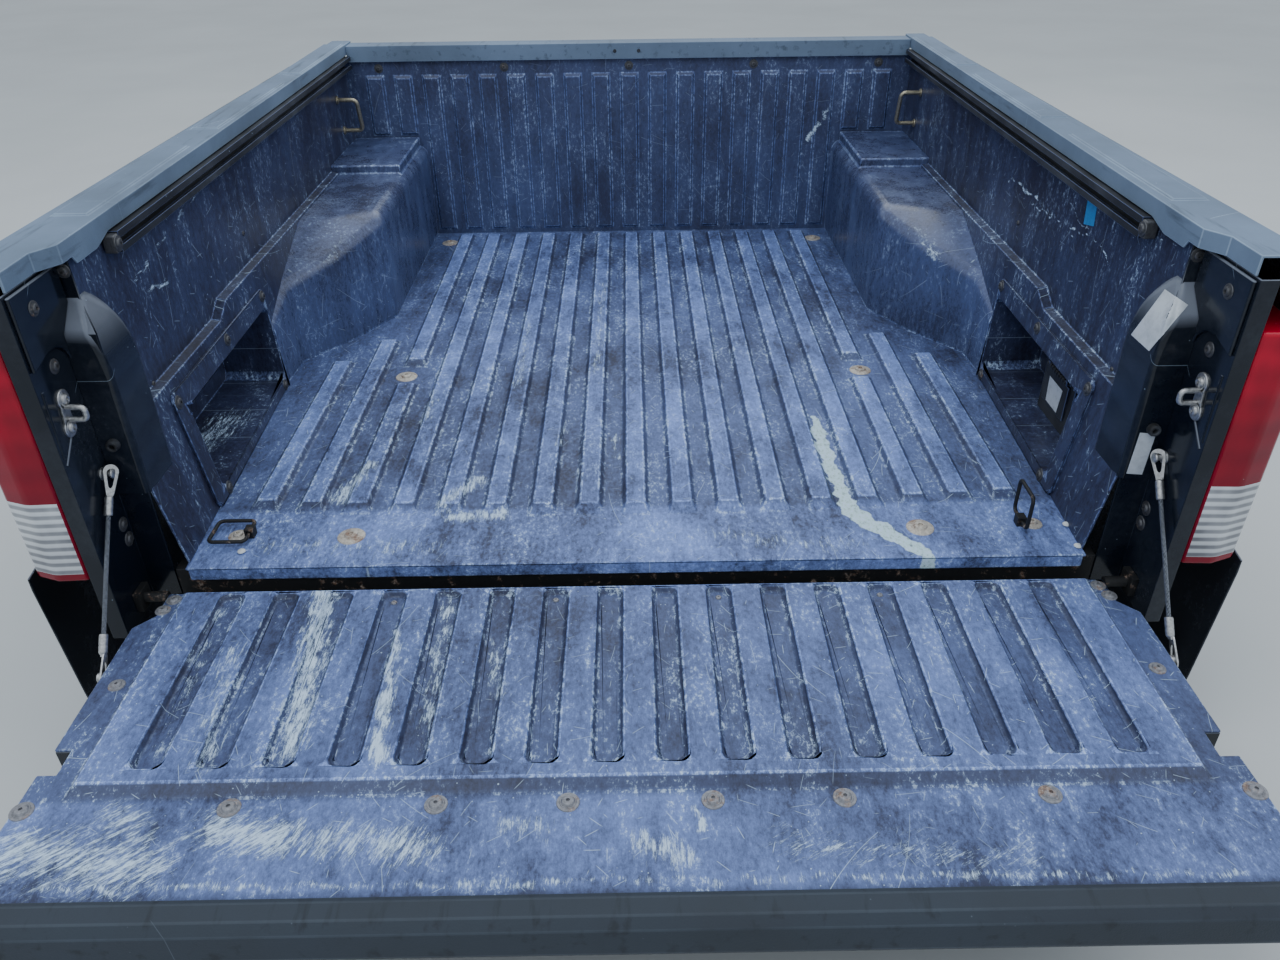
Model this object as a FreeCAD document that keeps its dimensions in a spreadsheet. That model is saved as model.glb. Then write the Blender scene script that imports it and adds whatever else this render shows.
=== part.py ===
import FreeCAD, Part
import math
import os
import re
import Sketcher
from FreeCAD import Placement, Rotation, Vector

# Load bed of a midsize pickup truck, with its tailgate lowered.
# Every piece is drawn from the rear edge of the floor: X to the right, Y towards the cab, Z up.
# Height 0 there is the low surface of the floor, between its ribs.
# The whole bed is then moved so that its origin is between the middle pair of frame studs,
# at the underside of the cross sills.

doc = FreeCAD.newDocument("load_bed")
sheet = doc.addObject("Spreadsheet::Sheet", "Sizes")

# Columns: name, value in millimetres or degrees, what it is.
SIZES = [
    ("floor_length", 1510, "rear edge of the floor to the face of the front wall"),
    ("floor_thickness", 4, "moulded floor between its ribs"),
    ("floor_half_rear", 665, "half the floor's width at its rear edge"),
    ("floor_half_mid", 690, "half the floor's width where the wheelhouse starts"),
    ("floor_half_front", 700, "half the floor's width at the front wall"),
    ("lip_drop", 22, "how far the floor's rear lip turns down"),
    ("rib_pitch", 74.8, "spacing of the floor's ribs"),
    ("rib_width", 30, "flat top of a floor rib"),
    ("rib_height", 8, "height of a floor rib"),
    ("rib_slant", 7, "width of a floor rib's sloping side"),
    ("rib_ramp", 24, "length of the ramp at a floor rib's rear end"),
    ("rib_rear", 124, "rear end of the middle rib"),
    ("rib_rear_bow", 24, "how much further forward the outermost rib starts"),
    ("rib_front_gap", 30, "long ribs' front ends to the front wall"),
    ("rib_house_gap", 92, "front end of the outermost rib to the wheelhouse"),
    ("rib_house_step", 28, "how much more the next rib keeps off"),
    ("rib_gap_start", 588, "rear end of the gap round the middle bolt"),
    ("rib_gap_end", 668, "front end of the gap round the middle bolt"),
    ("wall_thickness", 4, "moulded side and front walls"),
    ("seam", 0.3, "gap between pieces that lie against each other"),
    ("wall_rear", 14, "rear end of the side walls"),
    ("step_low", 222, "height of the ledge over the storage bin"),
    ("step_high", 244, "height of the ledge beside the wheelhouse"),
    ("step_start", 400, "where the ledge starts to rise"),
    ("step_end", 440, "where the ledge has risen"),
    ("ledge_half", 700, "half width at the inner edge of the ledge"),
    ("upper_half", 716, "half width of the wall above the ledge"),
    ("wall_drop", 25, "top of the side walls below the rail caps' top"),
    ("house_half", 535, "half the distance between the wheelhouses at the floor"),
    ("house_shoulder", 935, "where a wheelhouse's straight side ends"),
    ("house_hip_half", 604, "half width at the wheelhouse's rear corner"),
    ("house_hip", 806, "place of the wheelhouse's rear corner"),
    ("house_tail_half", 684, "half width where the wheelhouse nears the wall"),
    ("house_tail", 700, "place where the wheelhouse nears the wall"),
    ("house_end", 596, "rear end of the wheelhouse"),
    ("house_height", 239, "top of the wheelhouse"),
    ("house_slope", 22, "fall of the wheelhouse's rear facet in degrees"),
    ("house_turn", 27, "turn of that facet towards the middle in degrees"),
    ("house_corner", 45, "rounding of the wheelhouse's upright corners"),
    ("house_round", 28, "rounding of the wheelhouse's crest"),
    ("block_length", 275, "raised block on the wheelhouse, from the front wall"),
    ("block_height", 20, "height of that block"),
    ("block_inset", 18, "how far that block stands back from the wheelhouse's side"),
    ("front_rib_pitch", 72, "spacing of the front wall's ribs"),
    ("front_rib_width", 45, "foot of a front wall rib"),
    ("front_rib_depth", 6, "how far a front wall rib stands out"),
    ("front_rib_low", 12, "lower end of the front wall's ribs"),
    ("front_rib_drop", 76, "upper ends of the front wall's ribs below the rail caps' top"),
    ("header_drop", 42, "lower edge of the front header below the rail caps' top"),
    ("header_depth", 56, "front header from its inner face to its front edge"),
    ("rail_top", 487, "top of the rail caps"),
    ("rail_half", 708, "half width at the inner edge of the rail caps"),
    ("rail_half_rear", 728, "half width at that edge beside the closed tailgate"),
    ("rail_outer_rear", 790, "half width at the rail caps' outer edge, rear end"),
    ("rail_outer_front", 755, "half width at the rail caps' outer edge, front end"),
    ("rail_rear", -75, "rear end of the rail caps"),
    ("rail_curve_rear", -8, "where the rail caps' inner edge starts to curve in"),
    ("rail_curve_front", 22, "where that edge runs straight again"),
    ("rail_reach", 50, "front end of the rail caps ahead of the front wall"),
    ("rail_thickness", 3.5, "moulded rail caps"),
    ("rail_skirt", 25, "inner skirt of the rail caps"),
    ("rail_skirt_deep", 36, "that skirt where it drops ahead of the posts"),
    ("pad_half", 22, "half the width of a raised pad on the rail caps"),
    ("pad_height", 2.5, "height of such a pad"),
    ("cleat_rear", 153, "rear end of the cleat rails"),
    ("cleat_gap", 14, "front end of the cleat rails to the front wall"),
    ("cleat_drop", 57, "bottom of the cleat rails below the rail caps' top"),
    ("cleat_height", 30, "height of a cleat rail"),
    ("cleat_depth", 19, "how far a cleat rail stands out"),
    ("cleat_slot", 10, "slot of a cleat rail"),
    ("cleat_sheet", 3, "sheet of a cleat rail"),
    ("bin_rear", 190, "rear edge of the storage bin's mouth"),
    ("bin_front", 590, "front edge of the storage bin's mouth"),
    ("bin_low", 20, "lower edge of the storage bin's mouth"),
    ("bin_high", 170, "upper edge of the storage bin's mouth"),
    ("bin_frame", 36, "width of the frame round the storage bin"),
    ("bin_frame_depth", 5, "how far that frame stands out of the wall"),
    ("bin_back_half", 806, "half width at the back of the storage bin"),
    ("outlet_face", 742, "half width at the outlet housing's face"),
    ("outlet_rear", 300, "rear end of the outlet housing"),
    ("outlet_front", 430, "front end of the outlet housing"),
    ("cover_inset", 18, "ends of the outlet cover to the housing's ends"),
    ("cover_pivot", 117, "height of the outlet cover's hinge"),
    ("arch_center", 1070, "wheel centre, from the floor's rear edge"),
    ("arch_drop", 440, "wheel centre below the floor"),
    ("arch_radius", 465, "wheel opening in the side panel"),
    ("flare_width", 52, "width of the wheel arch flare"),
    ("flare_half", 932, "half width over the flares"),
    ("flare_foot", 866, "half width where the flares meet the panels"),
    ("liner_inner", 726, "half width at the arch liners' inner edge"),
    ("liner_outer", 892, "half width at the arch liners' outer edge"),
    ("panel_thickness", 3, "outer side panel"),
    ("panel_low", -330, "bottom edge of the side panels"),
    ("panel_reach", 78, "front end of the side panels ahead of the front wall"),
    ("fuel_rear", 1352, "rear edge of the fuel door's opening"),
    ("fuel_front", 1502, "front edge of the fuel door's opening"),
    ("fuel_low", 150, "lower edge of the fuel door's opening"),
    ("fuel_high", 300, "upper edge of the fuel door's opening"),
    ("fuel_gap", 5, "gap round the fuel door"),
    ("fuel_pivot_half", 840, "half width at the fuel door's pivot"),
    ("fuel_arm_low", 205, "lower edge of the fuel door's arm"),
    ("fuel_arm_high", 240, "upper edge of the fuel door's arm"),
    ("fuel_pivot", 1530, "fuel door's pivot, from the floor's rear edge"),
    ("post_half", 733, "half width between the tailgate posts"),
    ("post_thickness", 3, "sheet steel of the posts"),
    ("post_low", -62, "lower end of the posts"),
    ("post_drop", 28, "top of the posts below the rail caps' top"),
    ("post_upper", 45, "front face of the posts above their shoulder"),
    ("post_shoulder_low", 372, "lower end of the posts' shoulder"),
    ("post_shoulder_high", 402, "upper end of the posts' shoulder"),
    ("lamp_half", 757, "half width at the tail lamps' inner edge"),
    ("lamp_rear", -81, "rear face of the tail lamps"),
    ("lamp_front", 62, "front end of the tail lamps on the side"),
    ("lamp_low", 42, "lower end of the tail lamps"),
    ("lamp_drop", 95, "upper end of the tail lamps below the rail caps' top"),
    ("sill_height", 50, "height of the cross sills under the floor"),
    ("sill_width", 90, "width of a cross sill"),
    ("sill_sheet", 3, "sheet steel of the sills"),
    ("mount_middle", 623, "middle frame studs, from the floor's rear edge"),
    ("mount_rear", 76, "rear frame studs"),
    ("mount_front_gap", 85, "front frame studs to the front wall"),
    ("mount_middle_half", 457, "half the spacing of the middle frame studs"),
    ("mount_rear_half", 440, "half the spacing of the rear frame studs"),
    ("house_bolt_gap", 46, "front frame studs to the wheelhouses"),
    ("hook_reach", 47, "how far a tie hook stands out of the wall"),
    ("hook_radius", 5, "rod of a tie hook"),
    ("hook_bend", 11, "bends of that rod"),
    ("stud_radius", 6, "frame studs"),
    ("stud_length", 40, "frame studs below the cross sills"),
    ("washer_radius", 17.5, "washers of the frame bolts"),
    ("small_washer_radius", 12.5, "washers of the tie rings' bolts"),
    ("head_radius", 10, "heads of the floor's bolts"),
    ("hinge_back", -26, "tailgate hinge axis, from the floor's rear edge"),
    ("hinge_height", -30, "tailgate hinge axis, from the floor's surface"),
    ("pin_radius", 8, "tailgate's hinge pins"),
    ("gate_near", -22, "tailgate's hinge end when it is lowered"),
    ("gate_under_rail", 11, "joint of the closed tailgate's cap below the rail caps' top"),
    ("gate_cap_length", 42, "tailgate's top cap"),
    ("gate_half_hinge", 690, "half the tailgate's width at its hinges"),
    ("gate_half", 714, "half the tailgate's width"),
    ("gate_surface", -28, "height of the liner's smooth band"),
    ("gate_bottom", -84, "height of the tailgate's outer skin"),
    ("gate_sheet", 3, "sheet steel of the tailgate"),
    ("liner_sheet", 4, "tailgate's moulded liner"),
    ("field_height", 8, "how far the liner's raised field stands up"),
    ("channel_pitch", 78.5, "spacing of the liner's channels"),
    ("channel_width", 39, "mouth of a channel"),
    ("channel_near", -35, "hinge end of the channels"),
    ("channel_far", -360, "far end of the channels"),
    ("field_far", -399, "far end of the raised field"),
    ("handle_half", 120, "half the width of the tailgate's handle"),
    ("handle_near", -396, "hinge side of the handle"),
    ("handle_far", -486, "far side of the handle"),
    ("notch_near", -322, "hinge side of the latch notch"),
    ("notch_far", -360, "far side of the latch notch"),
    ("notch_depth", 21, "depth of the latch notch"),
    ("striker_back", -40, "middle of the gate strikers"),
    ("striker_plate", 3, "plate of a gate striker"),
    ("striker_reach", 30, "crown of a striker's loop from the post"),
    ("striker_width", 20, "spacing of that loop's legs"),
    ("striker_radius", 4, "rod of that loop"),
    ("striker_bend", 5, "bends of that rod"),
    ("cable_half", 723.5, "half width between the cables"),
    ("cable_radius", 3, "radius of a cable"),
    ("cable_stud_radius", 7, "studs that hold the cables"),
    ("stop_radius", 9, "rubber stops for the closed tailgate"),
    ("cable_top_back", -8, "upper cable stud"),
    ("cable_top_height", 173, "height of the upper cable stud"),
    ("cable_low_back", -180, "lower cable stud"),
    ("cable_low_height", -44, "height of the lower cable stud"),
    ("ring_half", 596, "half width between the tie rings' pivots"),
    ("ring_back", 82, "middle of the tie rings"),
    ("ring_radius", 3, "rod of a tie ring"),
    ("ring_reach", 56, "tie ring from its pivot to its far side"),
    ("ring_width", 56, "width of a tie ring"),
    ("ring_bend", 8, "bends of a tie ring"),
    ("ring_lift", 9, "height of a tie ring's pivot"),
]
NAMES = [row[0] for row in SIZES]
WORD = r"[a-z][a-z_]*"
# Places that follow from those sizes.
FOLLOWING = {
    "house_facet": "house_shoulder + 10",
    "rib_front": "floor_length - rib_front_gap",
    "block_rear": "floor_length - block_length",
    "rail_front": "floor_length + rail_reach",
    "panel_front": "floor_length + panel_reach",
    "cleat_front": "floor_length - cleat_gap",
    "cleat_low": "rail_top - cleat_drop",
    "wall_top": "rail_top - wall_drop",
    "front_rib_high": "rail_top - front_rib_drop",
    "header_low": "rail_top - header_drop",
    "header_top": "rail_top - 4",
    "header_rear": "floor_length - 12",
    "lamp_high": "rail_top - lamp_drop",
    "post_top": "rail_top - post_drop",
    "post_front": "wall_rear - seam",
    "mount_front": "floor_length - mount_front_gap",
    "mount_front_half": "house_half - house_bolt_gap",
    "gate_far": "hinge_back + hinge_height - rail_top + gate_under_rail",
    "gate_end": "gate_far - gate_cap_length",
    "striker_height": "hinge_height + hinge_back - (notch_near + notch_far) / 2",
}
# Bent rods: mitres in a bend, and sides of the rod's section.
BEND_STEPS = 3
ROD_SIDES = 12
# Sides of a bolt's washer and of its head.
BOLT_SIDES = 14

for line, (name, value, meaning) in enumerate(SIZES, start=1):
    sheet.set(f"A{line}", name)
    sheet.set(f"B{line}", str(value))
    sheet.set(f"C{line}", meaning)
    sheet.setAlias(f"B{line}", name)
doc.recompute()


def spelled(text):
    """A formula with each following place written out in plain sizes."""
    def written(word):
        return f"({spelled(FOLLOWING[word[0]])})" if word[0] in FOLLOWING else word[0]

    return re.sub(WORD, written, text)


def formula(text):
    """A formula in plain size names, as the document writes it."""
    def written(word):
        return "Sizes." + word[0] if word[0] in NAMES else word[0]

    return re.sub(WORD, written, spelled(text))


def size(text):
    """The present value of such a formula."""
    return float(sheet.evalExpression(spelled(text)))


def bind(thing, **sizes):
    """Bind properties to formulas; a double underscore in a name stands for a dot."""
    for key, text in sizes.items():
        thing.setExpression(key.replace("__", "."), formula(text))


def seat(thing):
    """Put a piece, drawn from the floor's rear edge, at its place in the bed's own frame."""
    bind(thing, Placement__Base__y="-mount_middle", Placement__Base__z="floor_thickness + sill_height")
    return thing


def new_body(name):
    return seat(doc.addObject("PartDesign::Body", name))


def plane(body, role):
    return next(item for item in body.Origin.OriginFeatures if item.Role == role)


def outline(body, role, points, height="0"):
    """A closed outline of straight lines on one of the body's planes, lifted by a formula."""
    sketch = body.newObject("Sketcher::SketchObject", "outline")
    sketch.AttachmentSupport = [(plane(body, role), "")]
    sketch.MapMode = "FlatFace"
    bind(sketch, AttachmentOffset__Base__z=height)
    spots = [Vector(size(across), size(up), 0) for across, up in points]
    count = len(spots)
    for i in range(count):
        sketch.addGeometry(Part.LineSegment(spots[i], spots[(i + 1) % count]), False)
    for i in range(count):
        sketch.addConstraint(Sketcher.Constraint("Coincident", i, 2, (i + 1) % count, 1))
    for i in range(count):
        for kind, axis in (("DistanceX", 0), ("DistanceY", 1)):
            rule = sketch.addConstraint(Sketcher.Constraint(kind, -1, 1, i, 1, spots[i][axis]))
            sketch.setExpression(f"Constraints[{rule}]", formula(points[i][axis]))
    return sketch


def circles(body, role, spots, radius, height="0"):
    """Circles of one radius round the given points."""
    sketch = body.newObject("Sketcher::SketchObject", "circles")
    sketch.AttachmentSupport = [(plane(body, role), "")]
    sketch.MapMode = "FlatFace"
    bind(sketch, AttachmentOffset__Base__z=height)
    for across, up in spots:
        center = Vector(size(across), size(up), 0)
        ring = sketch.addGeometry(Part.Circle(center, Vector(0, 0, 1), size(radius)), False)
        rules = [("DistanceX", across, center.x), ("DistanceY", up, center.y)]
        for kind, text, value in rules:
            rule = sketch.addConstraint(Sketcher.Constraint(kind, -1, 1, ring, 3, value))
            sketch.setExpression(f"Constraints[{rule}]", formula(text))
        rule = sketch.addConstraint(Sketcher.Constraint("Radius", ring, size(radius)))
        sketch.setExpression(f"Constraints[{rule}]", formula(radius))
    return sketch


def pad(body, sketch, length, **more):
    """Material from a sketch along its plane's normal."""
    feature = body.newObject("PartDesign::Pad", "pad")
    feature.Profile = sketch
    bind(feature, Length=length)
    for key, value in more.items():
        setattr(feature, key, value)
    doc.recompute()
    return feature


def pocket(body, sketch, length="", **more):
    """Take material away; with no length it goes through everything, both ways."""
    before = body.Tip.Shape.Volume
    feature = body.newObject("PartDesign::Pocket", "pocket")
    feature.Profile = sketch
    if length:
        bind(feature, Length=length)
    else:
        feature.Type = "ThroughAll"
        feature.Midplane = True
    for key, value in more.items():
        setattr(feature, key, value)
    doc.recompute()
    if feature.Shape.Volume > before - 1:
        raise ValueError(f"a pocket in {body.Label} cuts nothing")
    return feature


def loft(body, sections, kind="AdditiveLoft", role="XZ_Plane"):
    """A ruled loft through sections, each a place and its points: across the bed, or level ones."""
    sign = "-" if role == "XZ_Plane" else ""
    sketches = [outline(body, role, points, f"{sign}({place})") for place, points in sections]
    feature = body.newObject(f"PartDesign::{kind}", "loft")
    feature.Profile = sketches[0]
    feature.Sections = sketches[1:]
    feature.Ruled = True
    doc.recompute()
    return feature


def block(body, low, high, kind="AdditiveBox"):
    """A box between two corners."""
    feature = body.newObject(f"PartDesign::{kind}", "block")
    for key, start, end in zip(("Length", "Width", "Height"), low, high):
        bind(feature, **{key: f"({end}) - ({start})"})
    for axis, start in zip("xyz", low):
        bind(feature, **{f"Placement__Base__{axis}": start})
    doc.recompute()
    return feature


def wedge(body, foot, top, height, turn, at, kind="AdditiveWedge"):
    """A rib with sloping sides: foot and top are (x low, x high, z low, z high), it rises along Y."""
    feature = body.newObject(f"PartDesign::{kind}", "rib")
    feature.Placement = Placement(Vector(), turn)
    bind(feature, Ymin="0", Ymax=height)
    bind(feature, Xmin=foot[0], Xmax=foot[1], Zmin=foot[2], Zmax=foot[3])
    bind(feature, X2min=top[0], X2max=top[1], Z2min=top[2], Z2max=top[3])
    for axis, place in zip("xyz", at):
        bind(feature, **{f"Placement__Base__{axis}": place})
    return feature


def floor_wedge(body, middle, half, rear, front, slant, ramp, height, base, kind="AdditiveWedge"):
    """A rib or channel that runs along Y on a level face; a negative height makes a channel."""
    foot = (f"-({half}) - {slant}", f"{half} + {slant}", f"-({front})", f"-({rear})")
    top = (f"-({half})", half, f"-({front}) + {slant}", f"-({rear}) - {ramp}")
    return wedge(body, foot, top, height, Rotation(Vector(1, 0, 0), 90), (middle, "0", base), kind)


def rounded(body, radius, choose):
    """Fillet the edges that a test on their two ends picks."""
    base = body.Tip
    ends = [(edge.Vertexes[0].Point, edge.Vertexes[-1].Point) for edge in base.Shape.Edges]
    names = [f"Edge{number}" for number, pair in enumerate(ends, start=1) if choose(*pair)]
    feature = body.newObject("PartDesign::Fillet", "rounding")
    feature.Base = (base, names)
    bind(feature, Radius=radius)
    doc.recompute()
    return feature


def mirrored(source, name):
    """The left-hand copy of a right-hand piece."""
    copy = doc.addObject("Part::Mirroring", name)
    copy.Source = source
    copy.Normal = Vector(1, 0, 0)
    return copy


def boolean(kind, name, base, tool):
    result = doc.addObject(f"Part::{kind}", name)
    result.Base = base
    result.Tool = tool
    return result


def merged(name, shapes):
    """Like pieces on one body, as solids of one sub-part."""
    feature = doc.addObject("Part::Compound", name)
    feature.Links = shapes
    return feature


def prism(name, start, radius, length):
    """An upright bar with BOLT_SIDES sides, which stands for a turned one."""
    bar = doc.addObject("Part::Prism", name)
    bar.Polygon = BOLT_SIDES
    bind(bar, Circumradius=radius, Height=length)
    bind(bar, Placement__Base__x=start[0])
    bind(bar, Placement__Base__y=f"{start[1]} - mount_middle")
    bind(bar, Placement__Base__z=f"{start[2]} + floor_thickness + sill_height")
    return bar


def cylinder(name, start, direction, radius, length):
    """A round bar from a start point along a direction."""
    bar = doc.addObject("Part::Cylinder", name)
    bar.Placement = Placement(Vector(), Rotation(Vector(0, 0, 1), Vector(*direction)))
    bind(bar, Radius=radius, Height=length)
    bind(bar, Placement__Base__x=start[0])
    bind(bar, Placement__Base__y=f"{start[1]} - mount_middle")
    bind(bar, Placement__Base__z=f"{start[2]} + floor_thickness + sill_height")
    return bar


def rod(name, points, radius, bend, closed=False):
    """A bent round rod: straight runs between the given corners, each corner bent in short mitres."""
    corners = [Vector(*point) for point in points]
    count = len(corners)
    track = []
    for i, corner in enumerate(corners):
        if not closed and i in (0, count - 1):
            track.append(corner)
            continue
        back = (corners[i - 1] - corner).normalize()
        ahead = (corners[(i + 1) % count] - corner).normalize()
        half = back.getAngle(ahead) / 2
        heart = corner + (back + ahead).normalize() * (bend / math.sin(half))
        start = corner + back * (bend / math.tan(half)) - heart
        sweep = math.pi - 2 * half
        around = back.cross(start)
        for step in range(BEND_STEPS + 1):
            turn = Rotation(around, math.degrees(sweep * step / BEND_STEPS))
            track.append(heart + turn.multVec(start))
    if closed:
        middle = (track[-1] + track[0]) / 2
        track = [middle] + track + [middle]
    path = Part.makePolygon(track)
    ring = Part.makeCircle(radius, track[0], track[1] - track[0])
    section = Part.makePolygon(ring.discretize(ROD_SIDES + 1))
    feature = doc.addObject("Part::Feature", name)
    feature.Shape = path.makePipeShell([section], True, False, 1)
    return seat(feature)


# Floor: a flat moulding with a turned-down rear lip, open over the wheels, with seventeen ribs.
house_plan = [
    ("house_half", "floor_length"),
    ("house_half", "house_shoulder"),
    ("house_hip_half", "house_hip"),
    ("house_tail_half", "house_tail"),
    ("floor_half_mid", "house_end"),
    ("floor_half_mid + 34", "house_end"),
    ("floor_half_front + 24", "floor_length"),
]


def shifted(points, across="0", along="0"):
    return [(f"{x} + {across}", f"{y} + {along}") for x, y in points]


def flipped(points):
    return [(f"-({x})", y) for x, y in points]


bed_floor = new_body("bed_floor")
floor_edge = [
    ("floor_half_rear + wall_thickness", "0"),
    ("floor_half_mid + wall_thickness", "house_end"),
    ("floor_half_front + wall_thickness", "floor_length"),
]
floor_plan = floor_edge + flipped(floor_edge[::-1])
pad(bed_floor, outline(bed_floor, "XY_Plane", floor_plan), "floor_thickness", Reversed=True)
lip = [("0", "0"), ("wall_thickness", "0"), ("wall_thickness", "-lip_drop"), ("0", "-lip_drop")]
pad(bed_floor, outline(bed_floor, "YZ_Plane", lip), "2 * floor_half_rear", Midplane=True)
for side in (1, -1):
    cavity = shifted(house_plan, "wall_thickness")
    cavity = cavity if side > 0 else flipped(cavity)
    pocket(bed_floor, outline(bed_floor, "XY_Plane", cavity))


def house_line(half):
    """Where the wheelhouse's outline crosses a half width, or nothing where the floor runs on."""
    for (near, start), (far, end) in zip(house_plan[1:4], house_plan[2:5]):
        if size(near) <= size(half) <= size(far):
            return f"({start} + ({end} - {start}) * ({half} - {near}) / ({far} - {near}))"
    return None


RIB_COUNT = 17
OUTERMOST = RIB_COUNT // 2
for number in range(RIB_COUNT):
    place = number - OUTERMOST
    front = "rib_front"
    line = house_line(f"({abs(place)} * rib_pitch + rib_width / 2 + rib_slant)")
    if line:
        front = f"{line} - rib_house_gap - rib_house_step * {OUTERMOST - abs(place)}"
    rear = f"rib_rear + rib_rear_bow * {(place / OUTERMOST) ** 2:.4f}"
    spans = [(rear, front)]
    if abs(place) == 6 and size(front) > size("rib_gap_end + 2 * rib_ramp"):
        spans = [(rear, "rib_gap_start"), ("rib_gap_end", front)]
    for low, high in spans:
        floor_wedge(bed_floor, f"{place} * rib_pitch", "rib_width / 2", low, high,
                    "rib_slant", "rib_ramp", "rib_height", "0")
doc.recompute()


# The tool that cuts the sloping facet of a wheelhouse: a block, and its top's corner behind the facet's edge.
FACET_TOOL = (900, 700, 400)
FACET_CORNER = (-350, -700)


# Wheelhouse: a hollow moulding with a straight side, a flat top, a raised block and a sloping rear.
def wheelhouse_form(name, inset):
    """The wheelhouse as a solid, its faces moved inward by a formula."""
    form = new_body(name)
    plan = shifted(house_plan, inset)
    plan[0] = (plan[0][0], "floor_length")
    plan[-1] = (plan[-1][0], "floor_length")
    pad(form, outline(form, "XY_Plane", plan), f"house_height - ({inset})")
    inner = size("floor_half_mid + 10")

    def is_corner(start, end):
        behind_front = start.y < size("floor_length - 1")
        return abs(start.z - end.z) > 1 and start.x < size("house_tail_half") and behind_front

    def is_crest(start, end):
        return min(start.z, end.z) > size("house_height") / 3 and max(start.x, end.x) < inner

    rounded(form, f"house_corner - ({inset})", is_corner)
    facet = form.newObject("PartDesign::SubtractiveBox", "facet")
    facet.Length, facet.Width, facet.Height = FACET_TOOL
    tilt = Rotation(-size("house_turn"), 0, size("house_slope"))
    edge = Vector(size("house_half + 50"), size("house_facet"), size("house_height"))
    facet.Placement = Placement(edge + tilt.multVec(Vector(*FACET_CORNER, -size(inset))), tilt)
    doc.recompute()
    rounded(form, f"house_round - ({inset})", is_crest)
    block(form, (f"house_half + block_inset + {inset}", f"block_rear + {inset}", "house_height - 60"),
          ("upper_half + wall_thickness", "floor_length - 6", f"house_height + block_height - ({inset})"))
    return form


house_solid = wheelhouse_form("house_solid", "0")
house_hollow = wheelhouse_form("house_hollow", "wall_thickness")
right_wheelhouse = boolean("Cut", "right_wheelhouse", house_solid, house_hollow)
left_wheelhouse = mirrored(right_wheelhouse, "left_wheelhouse")


# Side wall: it leans out to a ledge, then stands upright to the rail, with the storage bin's mouth.
def wall_base(place):
    """Half width of the wall's foot at a place behind the wheelhouse."""
    run = f"({place} - wall_rear) / (house_end - wall_rear)"
    return f"(floor_half_rear + (floor_half_mid - floor_half_rear) * {run})"


def wall_face(place, height):
    """Half width of the lower wall's face, for the height of the low ledge."""
    return f"({wall_base(place)} + (ledge_half - {wall_base(place)}) * ({height}) / step_low)"


def wall_section(base, ledge):
    return [
        (base, "0"),
        ("ledge_half", ledge),
        ("upper_half", f"{ledge} + 3"),
        ("upper_half + 2", "wall_top"),
        ("upper_half + 2 + wall_thickness", "wall_top"),
        ("upper_half + wall_thickness", f"{ledge} + 3 - wall_thickness"),
        ("ledge_half + wall_thickness", f"{ledge} - wall_thickness"),
        (f"{base} + wall_thickness", "0"),
    ]


wall_sheet = new_body("wall_sheet")
loft(wall_sheet, [
    ("wall_rear", wall_section(wall_base("wall_rear"), "step_low")),
    ("step_start", wall_section(wall_base("step_start"), "step_low")),
    ("step_end", wall_section(wall_base("step_end"), "step_high")),
    ("house_end", wall_section("floor_half_mid", "step_high")),
    ("floor_length", wall_section("floor_half_front", "step_high")),
])
mouth = [
    ("bin_rear - wall_thickness", "bin_low - wall_thickness"),
    ("bin_front + wall_thickness", "bin_low - wall_thickness"),
    ("bin_front + wall_thickness", "bin_high + wall_thickness"),
    ("bin_rear - wall_thickness", "bin_high + wall_thickness"),
]
pocket(wall_sheet, outline(wall_sheet, "YZ_Plane", mouth))
behind_post = [
    ("wall_rear - 30", "post_shoulder_low"),
    ("wall_rear", "post_shoulder_low"),
    ("post_upper + seam", "post_shoulder_high"),
    ("post_upper + seam", "wall_top + 10"),
    ("wall_rear - 30", "wall_top + 10"),
]
pocket(wall_sheet, outline(wall_sheet, "YZ_Plane", behind_post))
right_inner_wall = boolean("Cut", "right_inner_wall", wall_sheet, house_solid)
left_inner_wall = mirrored(right_inner_wall, "left_inner_wall")

# Storage bin: a flat frame on the wall's face and an open box behind it.
bin_shell = new_body("bin_shell")


def bin_section(place, low, high, proud, back):
    """A four-sided section: its inner side follows the wall, its outer side is at a half width."""
    inner_low = f"{wall_face(place, low)} - ({proud})"
    inner_high = f"{wall_face(place, high)} - ({proud})"
    outer_low = back or wall_face(place, low)
    outer_high = back or wall_face(place, high)
    return (place, [(inner_low, low), (inner_high, high), (outer_high, high), (outer_low, low)])


frame_low = "bin_low - 18"
frame_high = "bin_high + bin_frame"
loft(bin_shell, [
    bin_section("bin_rear - bin_frame", frame_low, frame_high, "bin_frame_depth", None),
    bin_section("bin_front + 3", frame_low, frame_high, "bin_frame_depth", None),
])
box_low = "bin_low - wall_thickness"
box_high = "bin_high + wall_thickness"
loft(bin_shell, [
    bin_section("bin_rear - wall_thickness", box_low, box_high, "0", "bin_back_half"),
    bin_section("bin_front + 3", box_low, box_high, "0", "bin_back_half"),
])
loft(bin_shell, [
    bin_section("bin_rear", "bin_low", "bin_high", "bin_frame_depth + 1", "bin_back_half - wall_thickness"),
    bin_section("bin_front", "bin_low", "bin_high", "bin_frame_depth + 1", "bin_back_half - wall_thickness"),
], "SubtractiveLoft")
right_storage_bin = boolean("Cut", "right_storage_bin", bin_shell, wall_sheet)
left_storage_bin = mirrored(right_storage_bin, "left_storage_bin")

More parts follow.
